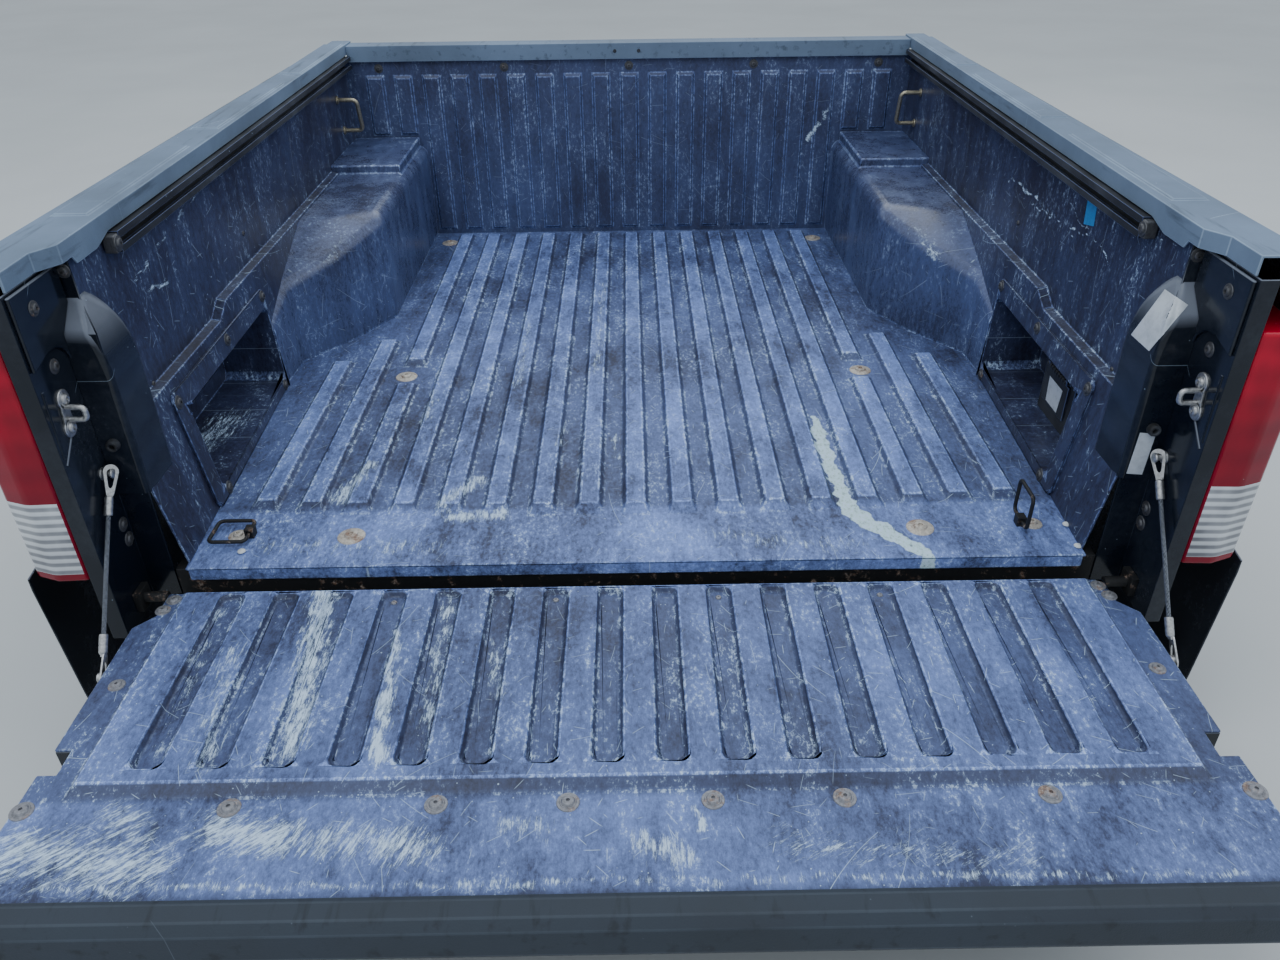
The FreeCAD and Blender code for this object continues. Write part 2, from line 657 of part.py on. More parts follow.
# Outlet housing: a moulded block on the floor of the right bin, with a hinged flap over its sockets.
outlet_housing = new_body("outlet_housing")
block(outlet_housing, ("outlet_face", "outlet_rear", "bin_low"),
      ("bin_back_half - wall_thickness", "outlet_front", "cover_pivot + 14"))
cover_rear = "outlet_rear + cover_inset"
cover_front = "outlet_front - cover_inset"
cover_low = "bin_low + 28"
block(outlet_housing, ("outlet_face", f"{cover_rear} + 4", f"{cover_low} + 4"),
      ("outlet_face + 20", f"{cover_front} - 4", "cover_pivot - 8"), "SubtractiveBox")
cover_ears = [(f"{cover_rear} + 4", f"{cover_rear} + 11.6"), (f"{cover_front} - 11.6", f"{cover_front} - 4")]
for near, far in cover_ears:
    block(outlet_housing, ("outlet_face - 8", near, "cover_pivot - 3.5"),
          ("outlet_face", far, "cover_pivot + 5"))
outlet_cover = new_body("outlet_cover")
cover_outside = "outlet_face - seam - wall_thickness"
block(outlet_cover, (cover_outside, cover_rear, cover_low),
      ("outlet_face - seam", cover_front, "cover_pivot - 6"))
block(outlet_cover, (cover_outside, f"{cover_rear} + 12", "cover_pivot - 6"),
      ("outlet_face - 0.7", f"{cover_front} - 12", "cover_pivot"))
knuckle_spot = [("outlet_face - 4", "cover_pivot")]
knuckle = circles(outlet_cover, "XZ_Plane", knuckle_spot, "3.2", f"12 - ({cover_front})")
pad(outlet_cover, knuckle, f"{cover_front} - ({cover_rear}) - 24")

# Front wall: a flat sheet with nineteen upright ribs.
front_panel = new_body("front_panel")
panel_half = "upper_half + 2 + wall_thickness"
block(front_panel, (f"-({panel_half})", "floor_length", "-floor_thickness"),
      (panel_half, "floor_length + wall_thickness", "header_low"))
FRONT_RIB_COUNT = 19
for number in range(FRONT_RIB_COUNT):
    place = number - FRONT_RIB_COUNT // 2
    over_house = size(f"{abs(place)} * front_rib_pitch + front_rib_width / 2") > size("house_half")
    base = "house_height + block_height + 6" if over_house else "front_rib_low"
    foot = ("-front_rib_width / 2", "front_rib_width / 2", base, "front_rib_high")
    top = ("-front_rib_width / 2 + 5", "front_rib_width / 2 - 5", f"{base} + 5", "front_rib_high - 7")
    wedge(front_panel, foot, top, "front_rib_depth", Rotation(Vector(0, 0, 1), 180),
          (f"{place} * front_rib_pitch", "floor_length", "0"))
doc.recompute()

# Front header: a folded cap along the top of the front wall.
front_header = new_body("front_header")
header = [
    ("header_rear + 2", "header_low"),
    ("header_rear", "header_top"),
    ("header_rear + header_depth", "header_top"),
    ("header_rear + header_depth", "header_low - 20"),
    ("header_rear + header_depth - rail_thickness", "header_low - 20"),
    ("header_rear + header_depth - rail_thickness", "header_top - rail_thickness"),
    ("header_rear + rail_thickness", "header_top - rail_thickness"),
    ("header_rear + rail_thickness + 2", "header_low"),
]
pad(front_header, outline(front_header, "YZ_Plane", header), "2 * (rail_half - seam)", Midplane=True)

# Rail cap: a folded cap along the top of each side, with three raised pads.
right_rail_cap = new_body("right_rail_cap")


def rail_section(inner, outer, skirt):
    top = "rail_top"
    under = "rail_top - rail_thickness"
    return [
        (inner, f"rail_top - {skirt}"),
        (inner, top),
        (outer, top),
        (f"{outer} + 2", "rail_top - 20"),
        (f"{outer} + 2 - rail_thickness", "rail_top - 20"),
        (f"{outer} - rail_thickness", under),
        (f"{inner} + rail_thickness", under),
        (f"{inner} + rail_thickness", f"rail_top - {skirt}"),
    ]


def rail_outer(place):
    run = f"({place} - rail_rear) / (rail_front - rail_rear)"
    return f"(rail_outer_rear + (rail_outer_front - rail_outer_rear) * {run})"


# Columns: place along the rail, half width at the inner edge there, inner skirt.
RAIL_PLACES = [
    ("rail_rear", "rail_half_rear", "rail_skirt"),
    ("rail_curve_rear", "rail_half_rear", "rail_skirt"),
    ("rail_curve_front", "rail_half", "rail_skirt"),
    ("post_upper + 2", "rail_half", "rail_skirt"),
    ("post_upper + 10", "rail_half", "rail_skirt_deep"),
    ("cleat_rear - 43", "rail_half", "rail_skirt_deep"),
    ("cleat_rear - 3", "rail_half", "rail_skirt"),
    ("rail_front", "rail_half", "rail_skirt"),
]
rail_sections = []
for place, inner, skirt in RAIL_PLACES:
    rail_sections.append((place, rail_section(inner, rail_outer(place), skirt)))
loft(right_rail_cap, rail_sections)
# Columns: rear end and front end of a raised pad, as shares of the load floor's length.
for rear, front in ((0.09, 0.33), (0.41, 0.67), (0.74, 0.99)):
    rear_end, front_end = f"floor_length * {rear}", f"floor_length * {front}"
    floor_wedge(right_rail_cap, f"(rail_half + {rail_outer(rear_end)}) / 2", "pad_half", rear_end, front_end,
                "pad_height", "pad_height", "pad_height", "rail_top")
doc.recompute()
left_rail_cap = mirrored(right_rail_cap, "left_rail_cap")

# Outer side panel: a pressed sheet with the wheel opening, its flare and the lamp's cut-out.
PANEL_SECTION = [
    # Columns: height, half width at the rear, behind the arch, over the arch and at the front.
    ("rail_top - 39", 797, 798, 786, 774),
    ("rail_top - 67", 806, 814, 808, 796),
    ("rail_top - 147", 828, 852, 856, 842),
    ("200", 846, 876, 888, 868),
    ("20", 850, 884, 894, 880),
    ("-180", 838, 876, 886, 876),
    ("panel_low", 822, 862, 872, 864),
]
PANEL_PLACES = ["lamp_rear + 8", "180", "arch_center", "panel_front"]


def panel_skin(column):
    """The outer skin's (half width, height) points at one place, from under the rail cap down."""
    edge = rail_outer(PANEL_PLACES[column - 1])
    under_cap = [(f"{edge} - 5", "rail_top - rail_thickness - seam"), (f"{edge} - 3", "rail_top - 23")]
    return under_cap + [(str(row[column]), row[0]) for row in PANEL_SECTION]


right_side_panel = new_body("right_side_panel")
panel_sections = []
for column, place in enumerate(PANEL_PLACES, start=1):
    outer = panel_skin(column)
    inner = [(f"{half} - panel_thickness", height) for half, height in reversed(outer)]
    panel_sections.append((place, outer + inner))
loft(right_side_panel, panel_sections)
arch = circles(right_side_panel, "YZ_Plane", [("arch_center", "-arch_drop")], "arch_radius")
pocket(right_side_panel, arch)
lamp_window = [
    ("lamp_rear - 20", "lamp_low - 0.5"),
    ("lamp_front + 0.5", "lamp_low - 0.5"),
    ("lamp_front + 0.5", "lamp_high + 0.5"),
    ("lamp_rear - 20", "lamp_high + 0.5"),
]
pocket(right_side_panel, outline(right_side_panel, "YZ_Plane", lamp_window))

flare_ring = circles(right_side_panel, "YZ_Plane", [("arch_center", "-arch_drop")],
                     "arch_radius + flare_width", "flare_foot")
pad(right_side_panel, flare_ring, "flare_half - flare_foot")
opening = circles(right_side_panel, "YZ_Plane", [("arch_center", "-arch_drop")], "arch_radius")
pocket(right_side_panel, opening)
below = [("0", "-arch_drop - 600"), ("2000", "-arch_drop - 600"), ("2000", "panel_low"), ("0", "panel_low")]
pocket(right_side_panel, outline(right_side_panel, "YZ_Plane", below))

# Arch liner: a curved sheet over the wheel, from the wheelhouse to the side panel.
right_arch_liner = new_body("right_arch_liner")
liner = circles(right_arch_liner, "YZ_Plane", [("arch_center", "-arch_drop")], "arch_radius - seam",
                "liner_inner")
pad(right_arch_liner, liner, "liner_outer - liner_inner")
inside = circles(right_arch_liner, "YZ_Plane", [("arch_center", "-arch_drop")],
                 "arch_radius - seam - wall_thickness")
pocket(right_arch_liner, inside)
pocket(right_arch_liner, outline(right_arch_liner, "YZ_Plane", below))
left_arch_liner = mirrored(right_arch_liner, "left_arch_liner")

# Rear post: folded sheet steel between the side wall's end and the tail lamp.
right_rear_post = new_body("right_rear_post")


def post_plan(front):
    """The post's folded sheet at one height, with the front face of its flange at a place."""
    return [
        ("floor_half_mid", f"{front} - post_thickness"),
        ("post_half", f"{front} - post_thickness"),
        ("post_half", "lamp_rear"),
        ("lamp_half", "lamp_rear"),
        ("lamp_half", "lamp_rear + post_thickness"),
        ("post_half + post_thickness", "lamp_rear + post_thickness"),
        ("post_half + post_thickness", front),
        ("floor_half_mid", front),
    ]


loft(right_rear_post, [
    ("post_low", post_plan("post_front")),
    ("post_shoulder_low", post_plan("post_front")),
    ("post_shoulder_high", post_plan("post_upper")),
    ("post_top", post_plan("post_upper")),
], role="XY_Plane")
left_rear_post = mirrored(right_rear_post, "left_rear_post")

# Tail lamp: a wrapped lens and its housing at the rear corner.
right_tail_lamp = new_body("right_tail_lamp")
lamp_plan = [
    ("lamp_half + 0.5", "lamp_rear"),
    ("800", "lamp_rear - 2"),
    ("834", "lamp_rear + 10"),
    ("858", "-20"),
    ("870", "lamp_front"),
    ("806", "lamp_front"),
    ("lamp_half + 0.5", "10"),
]
pad(right_tail_lamp, outline(right_tail_lamp, "XY_Plane", lamp_plan, "lamp_low"), "lamp_high - lamp_low")
left_tail_lamp = mirrored(right_tail_lamp, "left_tail_lamp")

# Rear sill: a boxed steel beam under the floor's rear lip.
rear_sill = new_body("rear_sill")
sill_rear = "wall_thickness + 0.5"
sill_front = "mount_rear - 46"
sill_bottom = "gate_bottom - 10"
block(rear_sill, ("-floor_half_rear - 20", sill_rear, sill_bottom),
      ("floor_half_rear + 20", sill_front, "-floor_thickness"))
block(rear_sill, ("-floor_half_rear - 30", f"{sill_rear} + sill_sheet", f"{sill_bottom} + sill_sheet"),
      ("floor_half_rear + 30", f"{sill_front} - sill_sheet", "-floor_thickness - sill_sheet"),
      "SubtractiveBox")

# Cross sills: hat-shaped steel channels across the underside of the floor.
SILL_PLACES = [
    "mount_rear + 14",
    "(mount_rear + mount_middle) / 2",
    "mount_middle",
    "mount_middle + (mount_front - mount_middle) / 3",
    "mount_middle + (mount_front - mount_middle) * 2 / 3",
    "mount_front",
]
cross_sills = []
for number, place in enumerate(SILL_PLACES):
    channel = new_body(f"cross_sill_{number}")
    half = "floor_half_mid - 30" if size(place) <= size("mount_middle") else "house_half - 8"
    half_hat = [
        ("sill_width / 2 + 12", "-floor_thickness"),
        ("sill_width / 2 + 12", "-floor_thickness - sill_sheet"),
        ("sill_width / 2", "-floor_thickness - sill_sheet"),
        ("sill_width / 2 - 8", "-floor_thickness - sill_height"),
    ]
    hat = [(f"{place} - ({across})", height) for across, height in half_hat]
    hat += [(f"{place} + ({across})", height) for across, height in half_hat[::-1]]
    pad(channel, outline(channel, "YZ_Plane", hat), f"2 * ({half})", Midplane=True)
    hollow_high = "sill_width / 2 - sill_sheet"
    hollow_low = "sill_width / 2 - sill_sheet - 8"
    inner = [
        (f"{place} - ({hollow_high})", "-floor_thickness"),
        (f"{place} - ({hollow_low})", "-floor_thickness - sill_height + sill_sheet"),
        (f"{place} + ({hollow_low})", "-floor_thickness - sill_height + sill_sheet"),
        (f"{place} + ({hollow_high})", "-floor_thickness"),
    ]
    pocket(channel, outline(channel, "YZ_Plane", inner))
    cross_sills.append(channel)
cross_sill_set = merged("cross_sills", cross_sills)

# Cleat rail: a channel with turned-in lips along each side wall.
right_cleat_rail = new_body("right_cleat_rail")
cleat_back = "upper_half + 1.5"
cleat_lip = f"{cleat_back} - cleat_depth"
cleat_top = "cleat_low + cleat_height"
slot_low = "cleat_low + (cleat_height - cleat_slot) / 2"
slot_high = "cleat_low + (cleat_height + cleat_slot) / 2"
cleat = [
    (cleat_back, "cleat_low"),
    (cleat_lip, "cleat_low"),
    (cleat_lip, slot_low),
    (f"{cleat_lip} + cleat_sheet", slot_low),
    (f"{cleat_lip} + cleat_sheet", "cleat_low + cleat_sheet"),
    (f"{cleat_back} - cleat_sheet", "cleat_low + cleat_sheet"),
    (f"{cleat_back} - cleat_sheet", f"{cleat_top} - cleat_sheet"),
    (f"{cleat_lip} + cleat_sheet", f"{cleat_top} - cleat_sheet"),
    (f"{cleat_lip} + cleat_sheet", slot_high),
    (cleat_lip, slot_high),
    (cleat_lip, cleat_top),
    (cleat_back, cleat_top),
]
cleat_sketch = outline(right_cleat_rail, "XZ_Plane", cleat, "-cleat_front")
pad(right_cleat_rail, cleat_sketch, "cleat_front - cleat_rear")
left_cleat_rail = mirrored(right_cleat_rail, "left_cleat_rail")

# Tie hooks: bent rods at the front corners, both feet in the side wall.
hook_foot = size("upper_half")
hook_out = size("upper_half - hook_reach")
hook_top = (size("floor_length - 134"), size("rail_top - 107"))
hook_low = (size("floor_length - 110"), size("rail_top - 184"))
hook_corners = [
    (hook_foot + 1.2, *hook_top),
    (hook_out, *hook_top),
    (hook_out, *hook_low),
    (hook_foot + 0.5, *hook_low),
]
right_tie_hook = rod("right_tie_hook", hook_corners, size("hook_radius"), size("hook_bend"))
left_tie_hook = mirrored(right_tie_hook, "left_tie_hook")

# Floor bolts: wide washers and domed heads on the floor, with studs that stand out below the sills.
# Columns: half width, place, radius of the washer. The first three have studs through the cross sills.
BOLTS = [
    ("mount_rear_half", "mount_rear", "washer_radius"),
    ("mount_middle_half", "mount_middle", "washer_radius"),
    ("mount_front_half", "mount_front", "washer_radius"),
    ("ring_half + 20", "ring_back", "small_washer_radius"),
]
bolt_heads = []
for number, (half, place, washer_size) in enumerate(BOLTS):
    for side in (-1, 1):
        tag = f"{number}_{'left' if side < 0 else 'right'}"
        across = f"{side} * ({half})"
        washer = prism(f"washer_{tag}", (across, place, "0"), washer_size, "3")
        head = prism(f"head_{tag}", (across, place, "2"), "head_radius", "4")
        bolt_heads.append(boolean("Fuse", f"floor_bolt_{tag}", washer, head))
floor_bolts = merged("floor_bolts", bolt_heads)
studs = []
for number, (half, place, _) in enumerate(BOLTS[:3]):
    for side in (-1, 1):
        stud = new_body(f"frame_stud_{number}_{'left' if side < 0 else 'right'}")
        spot = [(f"{side} * ({half})", place)]
        under = "-floor_thickness - sill_height"
        pad(stud, circles(stud, "XY_Plane", spot, "stud_radius", under), "stud_length", Reversed=True)
        studs.append(stud)
frame_studs = merged("frame_studs", studs)

# Gate strikers: a plate and a bent loop on each post.
strikers = []
for side in (-1, 1):
    face = size("post_half")
    height = size("striker_height")
    back = size("striker_back")
    foot = side * (face - size("striker_plate"))
    crown = side * (face - size("striker_reach"))
    top = height + size("striker_width / 2")
    bottom = height - size("striker_width / 2")
    corners = [(foot, back, top), (crown, back, top), (crown, back, bottom), (foot, back, bottom)]
    loop_name = f"striker_loop_{'left' if side < 0 else 'right'}"
    loop = rod(loop_name, corners, size("striker_radius"), size("striker_bend"))
    plate = new_body(f"striker_plate_{'left' if side < 0 else 'right'}")
    low, high = sorted((foot, side * face))
    block(plate, (str(low), "striker_back - 18", "striker_height - 30"),
          (str(high), "striker_back + 20", "striker_height + 30"))
    strikers += [loop, plate]
gate_strikers = merged("gate_strikers", strikers)

# Cable studs on the posts and the stops that the closed tailgate meets.
anchors = []
stops = []
for side in (-1, 1):
    start = (f"{side} * post_half", "cable_top_back", "cable_top_height")
    anchors.append(cylinder(f"cable_stud_{side + 1}", start, (-side, 0, 0), "cable_stud_radius", "16"))
    start = (f"{side} * (post_half - 20)", "post_front - post_thickness", "striker_height - 74")
    stops.append(cylinder(f"gate_stop_{side + 1}", start, (0, -1, 0), "stop_radius", "14"))
cable_anchors = merged("cable_anchors", anchors)
gate_stops = merged("gate_stops", stops)

# Cables: a rope on each side from the post to the lowered tailgate.
ropes = []
back = size("cable_low_back - cable_top_back")
fall = size("cable_low_height - cable_top_height")
reach = math.hypot(back, fall)
stud_gap = size("cable_stud_radius + seam")
for side, name in ((-1, "left_cable"), (1, "right_cable")):
    start = (
        f"{side} * cable_half",
        f"cable_top_back + {stud_gap * back / reach:.4f}",
        f"cable_top_height + {stud_gap * fall / reach:.4f}",
    )
    ropes.append(cylinder(name, start, (0, back, fall), "cable_radius", f"{reach - 2 * stud_gap:.4f}"))

# Hinge ears: plates on the posts' feet that carry the tailgate's pins.
ears = []
for side in (-1, 1):
    ear = new_body(f"hinge_ear_{'left' if side < 0 else 'right'}")
    low, high = sorted((side * size("post_half"), side * size("post_half - 10")))
    block(ear, (str(low), "hinge_back - 2 * pin_radius", "hinge_height - 2 * pin_radius"),
          (str(high), "hinge_back + 2 * pin_radius", "hinge_height + 2 * pin_radius"))
    hole = circles(ear, "YZ_Plane", [("hinge_back", "hinge_height")], "pin_radius + seam")
    pocket(ear, hole)
    ears.append(ear)
hinge_ears = merged("hinge_ears", ears)

# Tailgate outer: a pressed steel pan, open at the top, with a latch notch on each side.
gate_half_plan = [
    ("gate_half_hinge", "gate_near"),
    ("gate_half_hinge", "gate_near - 50"),
    ("gate_half", "gate_near - 76"),
    ("gate_half", "notch_near"),
    ("gate_half - notch_depth", "notch_near"),
    ("gate_half - notch_depth", "notch_far"),
    ("gate_half + 2", "notch_far"),
    ("gate_half + 6", "gate_far"),
]
gate_plan = gate_half_plan + flipped(gate_half_plan[::-1])
pan_half_plan = [
    ("gate_half_hinge - gate_sheet", "gate_near - gate_sheet"),
    ("gate_half_hinge - gate_sheet", "gate_near - 51"),
    ("gate_half - gate_sheet", "gate_near - 77"),
    ("gate_half - gate_sheet", "notch_near + gate_sheet"),
    ("gate_half - notch_depth - gate_sheet", "notch_near + gate_sheet"),
    ("gate_half - notch_depth - gate_sheet", "notch_far - gate_sheet"),
    ("gate_half + 2 - gate_sheet", "notch_far - gate_sheet"),
    ("gate_half + 6 - gate_sheet", "gate_far + gate_sheet"),
]
pan_plan = pan_half_plan + flipped(pan_half_plan[::-1])
gate_joint = "gate_surface - liner_sheet"
tailgate_outer = new_body("tailgate_outer")
pad(tailgate_outer, outline(tailgate_outer, "XY_Plane", gate_plan, "gate_bottom"),
    f"{gate_joint} - gate_bottom")
pocket(tailgate_outer, outline(tailgate_outer, "XY_Plane", pan_plan, gate_joint),
       f"{gate_joint} - gate_bottom - gate_sheet")

# Tailgate liner: a moulded sheet with a raised field cut by sixteen channels.
tailgate_liner = new_body("tailgate_liner")
pad(tailgate_liner, outline(tailgate_liner, "XY_Plane", gate_plan, gate_joint), "liner_sheet")
floor_wedge(tailgate_liner, "0", "gate_half_hinge - 30", "field_far", "gate_near - 2",
            "6", "19", "field_height", "gate_surface")
doc.recompute()
CHANNEL_COUNT = 16
for number in range(CHANNEL_COUNT):
    place = number - (CHANNEL_COUNT - 1) / 2
    channel = wedge(
        tailgate_liner,
        ("-channel_width / 2 + 5", "channel_width / 2 - 5", "-channel_near + 5", "-channel_far - 5"),
        ("-channel_width / 2", "channel_width / 2", "-channel_near", "-channel_far"),
        "field_height", Rotation(Vector(1, 0, 0), 90),
        (f"{place} * channel_pitch", "0", "gate_surface"), "SubtractiveWedge")
doc.recompute()

# Tailgate top cap: a rounded moulding along the tailgate's top edge.
tailgate_top_cap = new_body("tailgate_top_cap")
cap = [
    ("gate_far", gate_joint),
    ("gate_far", "gate_surface + 4"),
    ("gate_far - 8", "gate_surface + 8"),
    ("gate_far - 28", "gate_surface + 6"),
    ("gate_end + 3", gate_joint),
    ("gate_end", "gate_surface - 38"),
    ("gate_end + 10", "gate_bottom"),
    ("gate_far", "gate_bottom"),
]
pad(tailgate_top_cap, outline(tailgate_top_cap, "YZ_Plane", cap), "2 * (gate_half + 8)", Midplane=True)

# Tailgate handle: a bezel and a pull on the outer skin.
tailgate_handle = new_body("tailgate_handle")
block(tailgate_handle, ("-handle_half", "handle_far", "gate_bottom - 8"),
      ("handle_half", "handle_near", "gate_bottom"))
block(tailgate_handle, ("-handle_half + 16", "handle_far + 12", "gate_bottom - 10"),
      ("handle_half - 16", "handle_near - 22", "gate_bottom - 2"), "SubtractiveBox")
block(tailgate_handle, ("-handle_half + 24", "handle_near - 44", "gate_bottom - 9"),
      ("handle_half - 24", "handle_near - 12", "gate_bottom - 5"))

# Latches in the notches, pins at the hinges and cable studs on the sides.
latches = []
pins = []
gate_studs = []
for side in (-1, 1):
    latch = new_body(f"gate_latch_{'left' if side < 0 else 'right'}")
    low, high = sorted((side * size("gate_half - notch_depth"), side * size("gate_half - notch_depth + 3")))
    block(latch, (str(low), "notch_far + 6", "gate_bottom + 12"),
          (str(high), "notch_near - 6", "gate_surface - 10"))
    latches.append(latch)
    start = (f"{side} * gate_half_hinge", "hinge_back", "hinge_height")
    pins.append(cylinder(f"hinge_pin_{side + 1}", start, (side, 0, 0), "pin_radius",
                         "post_half - gate_half_hinge - 1"))
    start = (f"{side} * gate_half", "cable_low_back", "cable_low_height")
    gate_studs.append(cylinder(f"gate_cable_stud_{side + 1}", start, (side, 0, 0), "cable_stud_radius", "14"))
gate_latches = merged("gate_latches", latches)
gate_pins = merged("gate_pins", pins)
gate_cable_studs = merged("gate_cable_studs", gate_studs)

# Fuel door on the left side panel, over a pocket, on an arm that reaches round the panel's edge.
left_side_full = mirrored(right_side_panel, "left_side_full")
fuel_cut = new_body("fuel_cut")
block(fuel_cut, ("-1000", "fuel_rear", "fuel_low"), ("-800", "fuel_front", "fuel_high"))
left_side_panel = boolean("Cut", "left_side_panel", left_side_full, fuel_cut)
fuel_door = new_body("fuel_door")


def panel_point(height, place):
    """Half width of the outer skin between the arch's section and the front section."""
    mid_skin, end_skin = panel_skin(3), panel_skin(4)
    for number in range(len(mid_skin) - 1):
        top, bottom = size(mid_skin[number][1]), size(mid_skin[number + 1][1])
        if bottom <= height <= top:
            share = (top - height) / (top - bottom)
            along = (place - size("arch_center")) / size("panel_front - arch_center")
            ends = [size(skin[number + step][0]) for skin in (mid_skin, end_skin) for step in (0, 1)]
            mid = ends[0] + (ends[1] - ends[0]) * share
            end = ends[2] + (ends[3] - ends[2]) * share
            return mid + (end - mid) * along
    raise ValueError("height is off the panel")


door_sections = []
for edge in ("fuel_rear + fuel_gap", "fuel_front - fuel_gap"):
    place = size(edge)
    heights = [size("fuel_low + fuel_gap"), size(PANEL_SECTION[3][0]), size("fuel_high - fuel_gap")]
    outer = [(f"-{panel_point(height, place):.3f}", str(height)) for height in heights]
    inner = [(f"panel_thickness - {panel_point(height, place):.3f}", str(height)) for height in heights[::-1]]
    door_sections.append((str(place), outer + inner))
loft(fuel_door, door_sections)
arm = [
    ("-fuel_pivot_half - 24", "fuel_pivot - 54"),
    ("-fuel_pivot_half + 34", "fuel_pivot - 54"),
    ("-fuel_pivot_half + 34", "fuel_pivot + 2"),
    ("-fuel_pivot_half", "fuel_pivot + 2"),
    ("-fuel_pivot_half", "fuel_pivot - 2"),
    ("-fuel_pivot_half + 30", "fuel_pivot - 2"),
    ("-fuel_pivot_half + 30", "fuel_pivot - 50"),
    ("-fuel_pivot_half - 24", "fuel_pivot - 50"),
]
pad(fuel_door, outline(fuel_door, "XY_Plane", arm, "fuel_arm_low"), "fuel_arm_high - fuel_arm_low")
knuckle = circles(fuel_door, "XY_Plane", [("-fuel_pivot_half", "fuel_pivot")], "4.5", "fuel_arm_low")
pad(fuel_door, knuckle, "fuel_arm_high - fuel_arm_low")
pocket_shell = new_body("pocket_shell")
pocket_back = "-fuel_pivot_half + 78"
block(pocket_shell, ("-900", "fuel_rear - 12", "fuel_low - 12"),
      (f"{pocket_back} + 4", "fuel_pivot + 14", "fuel_high + 12"))
block(pocket_shell, ("-901", "fuel_rear - 8", "fuel_low - 8"),
      (pocket_back, "fuel_pivot + 10", "fuel_high + 8"), "SubtractiveBox")
for low, high in (("fuel_arm_low - 6", "fuel_arm_low - 0.4"), ("fuel_arm_high + 0.4", "fuel_arm_high + 6")):
    block(pocket_shell, ("-fuel_pivot_half - 5", "fuel_pivot - 5", low),
          ("-fuel_pivot_half + 5", "fuel_pivot + 10", high))
cap_spot = [("(fuel_rear + fuel_front) / 2", "(fuel_low + fuel_high) / 2")]
cap_sketch = circles(pocket_shell, "YZ_Plane", cap_spot, "38", pocket_back)
pad(pocket_shell, cap_sketch, "30", Reversed=True)
outside = new_body("outside")
outside_sections = []
for column, place in ((3, "arch_center"), (4, "panel_front")):
    skin = [(f"-({half} - panel_thickness - seam)", height) for half, height in panel_skin(column)]
    outside_sections.append((place, [("-1000", skin[0][1])] + skin + [("-1000", "panel_low")]))
loft(outside, outside_sections)
fuel_pocket = boolean("Cut", "fuel_pocket", pocket_shell, outside)

# Tie rings: closed rod loops that swing on clips at the floor's rear corners.
clips = []
rings = {}
for side, name in ((-1, "left_tie_ring"), (1, "right_tie_ring")):
    pivot = size("ring_half") * side
    lift = size("ring_lift")
    half = size("ring_width / 2")
    middle = size("ring_back")
    reach = size("ring_reach")
    if side < 0:
        far = (pivot + side * reach, lift)
    else:
        far = (pivot, lift + reach)
    corners = [
        (pivot, middle - half, lift),
        (pivot, middle + half, lift),
        (far[0], middle + half, far[1]),
        (far[0], middle - half, far[1]),
    ]
    rings[name] = rod(name, corners, size("ring_radius"), size("ring_bend"), closed=True)
    clip = new_body(f"ring_clip_{'left' if side < 0 else 'right'}")
    low, high = sorted((pivot - 7, pivot + 7))
    block(clip, (str(low), f"{middle - 8}", "0"), (str(high), f"{middle + 8}", f"{lift + 7}"))
    room = size("ring_radius") + 0.4
    around = [(-room, -room), (room, -room), (room, room), (-room, room)]
    hole = [(str(pivot + across), str(lift + up)) for across, up in around]
    pocket(clip, outline(clip, "XZ_Plane", hole))
    clips.append(clip)
ring_clips = merged("ring_clips", clips)

SUBPARTS = {
    "bed_floor": bed_floor,
    "front_panel": front_panel,
    "front_header": front_header,
    "left_inner_wall": left_inner_wall,
    "right_inner_wall": right_inner_wall,
    "left_wheelhouse": left_wheelhouse,
    "right_wheelhouse": right_wheelhouse,
    "left_storage_bin": left_storage_bin,
    "right_storage_bin": right_storage_bin,
    "outlet_housing": outlet_housing,
    "left_rail_cap": left_rail_cap,
    "right_rail_cap": right_rail_cap,
    "left_side_panel": left_side_panel,
    "right_side_panel": right_side_panel,
    "left_arch_liner": left_arch_liner,
    "right_arch_liner": right_arch_liner,
    "left_rear_post": left_rear_post,
    "right_rear_post": right_rear_post,
    "left_tail_lamp": left_tail_lamp,
    "right_tail_lamp": right_tail_lamp,
    "rear_sill": rear_sill,
    "cross_sills": cross_sill_set,
    "left_cleat_rail": left_cleat_rail,
    "right_cleat_rail": right_cleat_rail,
    "left_tie_hook": left_tie_hook,
    "right_tie_hook": right_tie_hook,
    "floor_bolts": floor_bolts,
    "frame_studs": frame_studs,
    "gate_strikers": gate_strikers,
    "cable_anchors": cable_anchors,
    "gate_stops": gate_stops,
    "left_cable": ropes[0],
    "right_cable": ropes[1],
    "hinge_ears": hinge_ears,
    "ring_clips": ring_clips,
    "fuel_pocket": fuel_pocket,
    "tailgate_outer": tailgate_outer,
    "tailgate_liner": tailgate_liner,
    "tailgate_top_cap": tailgate_top_cap,
    "tailgate_handle": tailgate_handle,
    "gate_latches": gate_latches,
    "gate_pins": gate_pins,
    "gate_cable_studs": gate_cable_studs,
    "outlet_cover": outlet_cover,
    "fuel_door": fuel_door,
    "left_tie_ring": rings["left_tie_ring"],
    "right_tie_ring": rings["right_tie_ring"],
}

doc.recompute()
for thing in doc.Objects:
    if {"Invalid", "Error"} & set(thing.State):
        raise ValueError(f"{thing.Label} did not build: {thing.State}")
for name, piece in SUBPARTS.items():
    piece.Label = name
    if piece.Shape.isNull() or not piece.Shape.isValid():
        raise ValueError(f"{name} has no valid shape")

os.makedirs("parts", exist_ok=True)
for name, piece in SUBPARTS.items():
    piece.Shape.exportStep(f"parts/{name}.step")
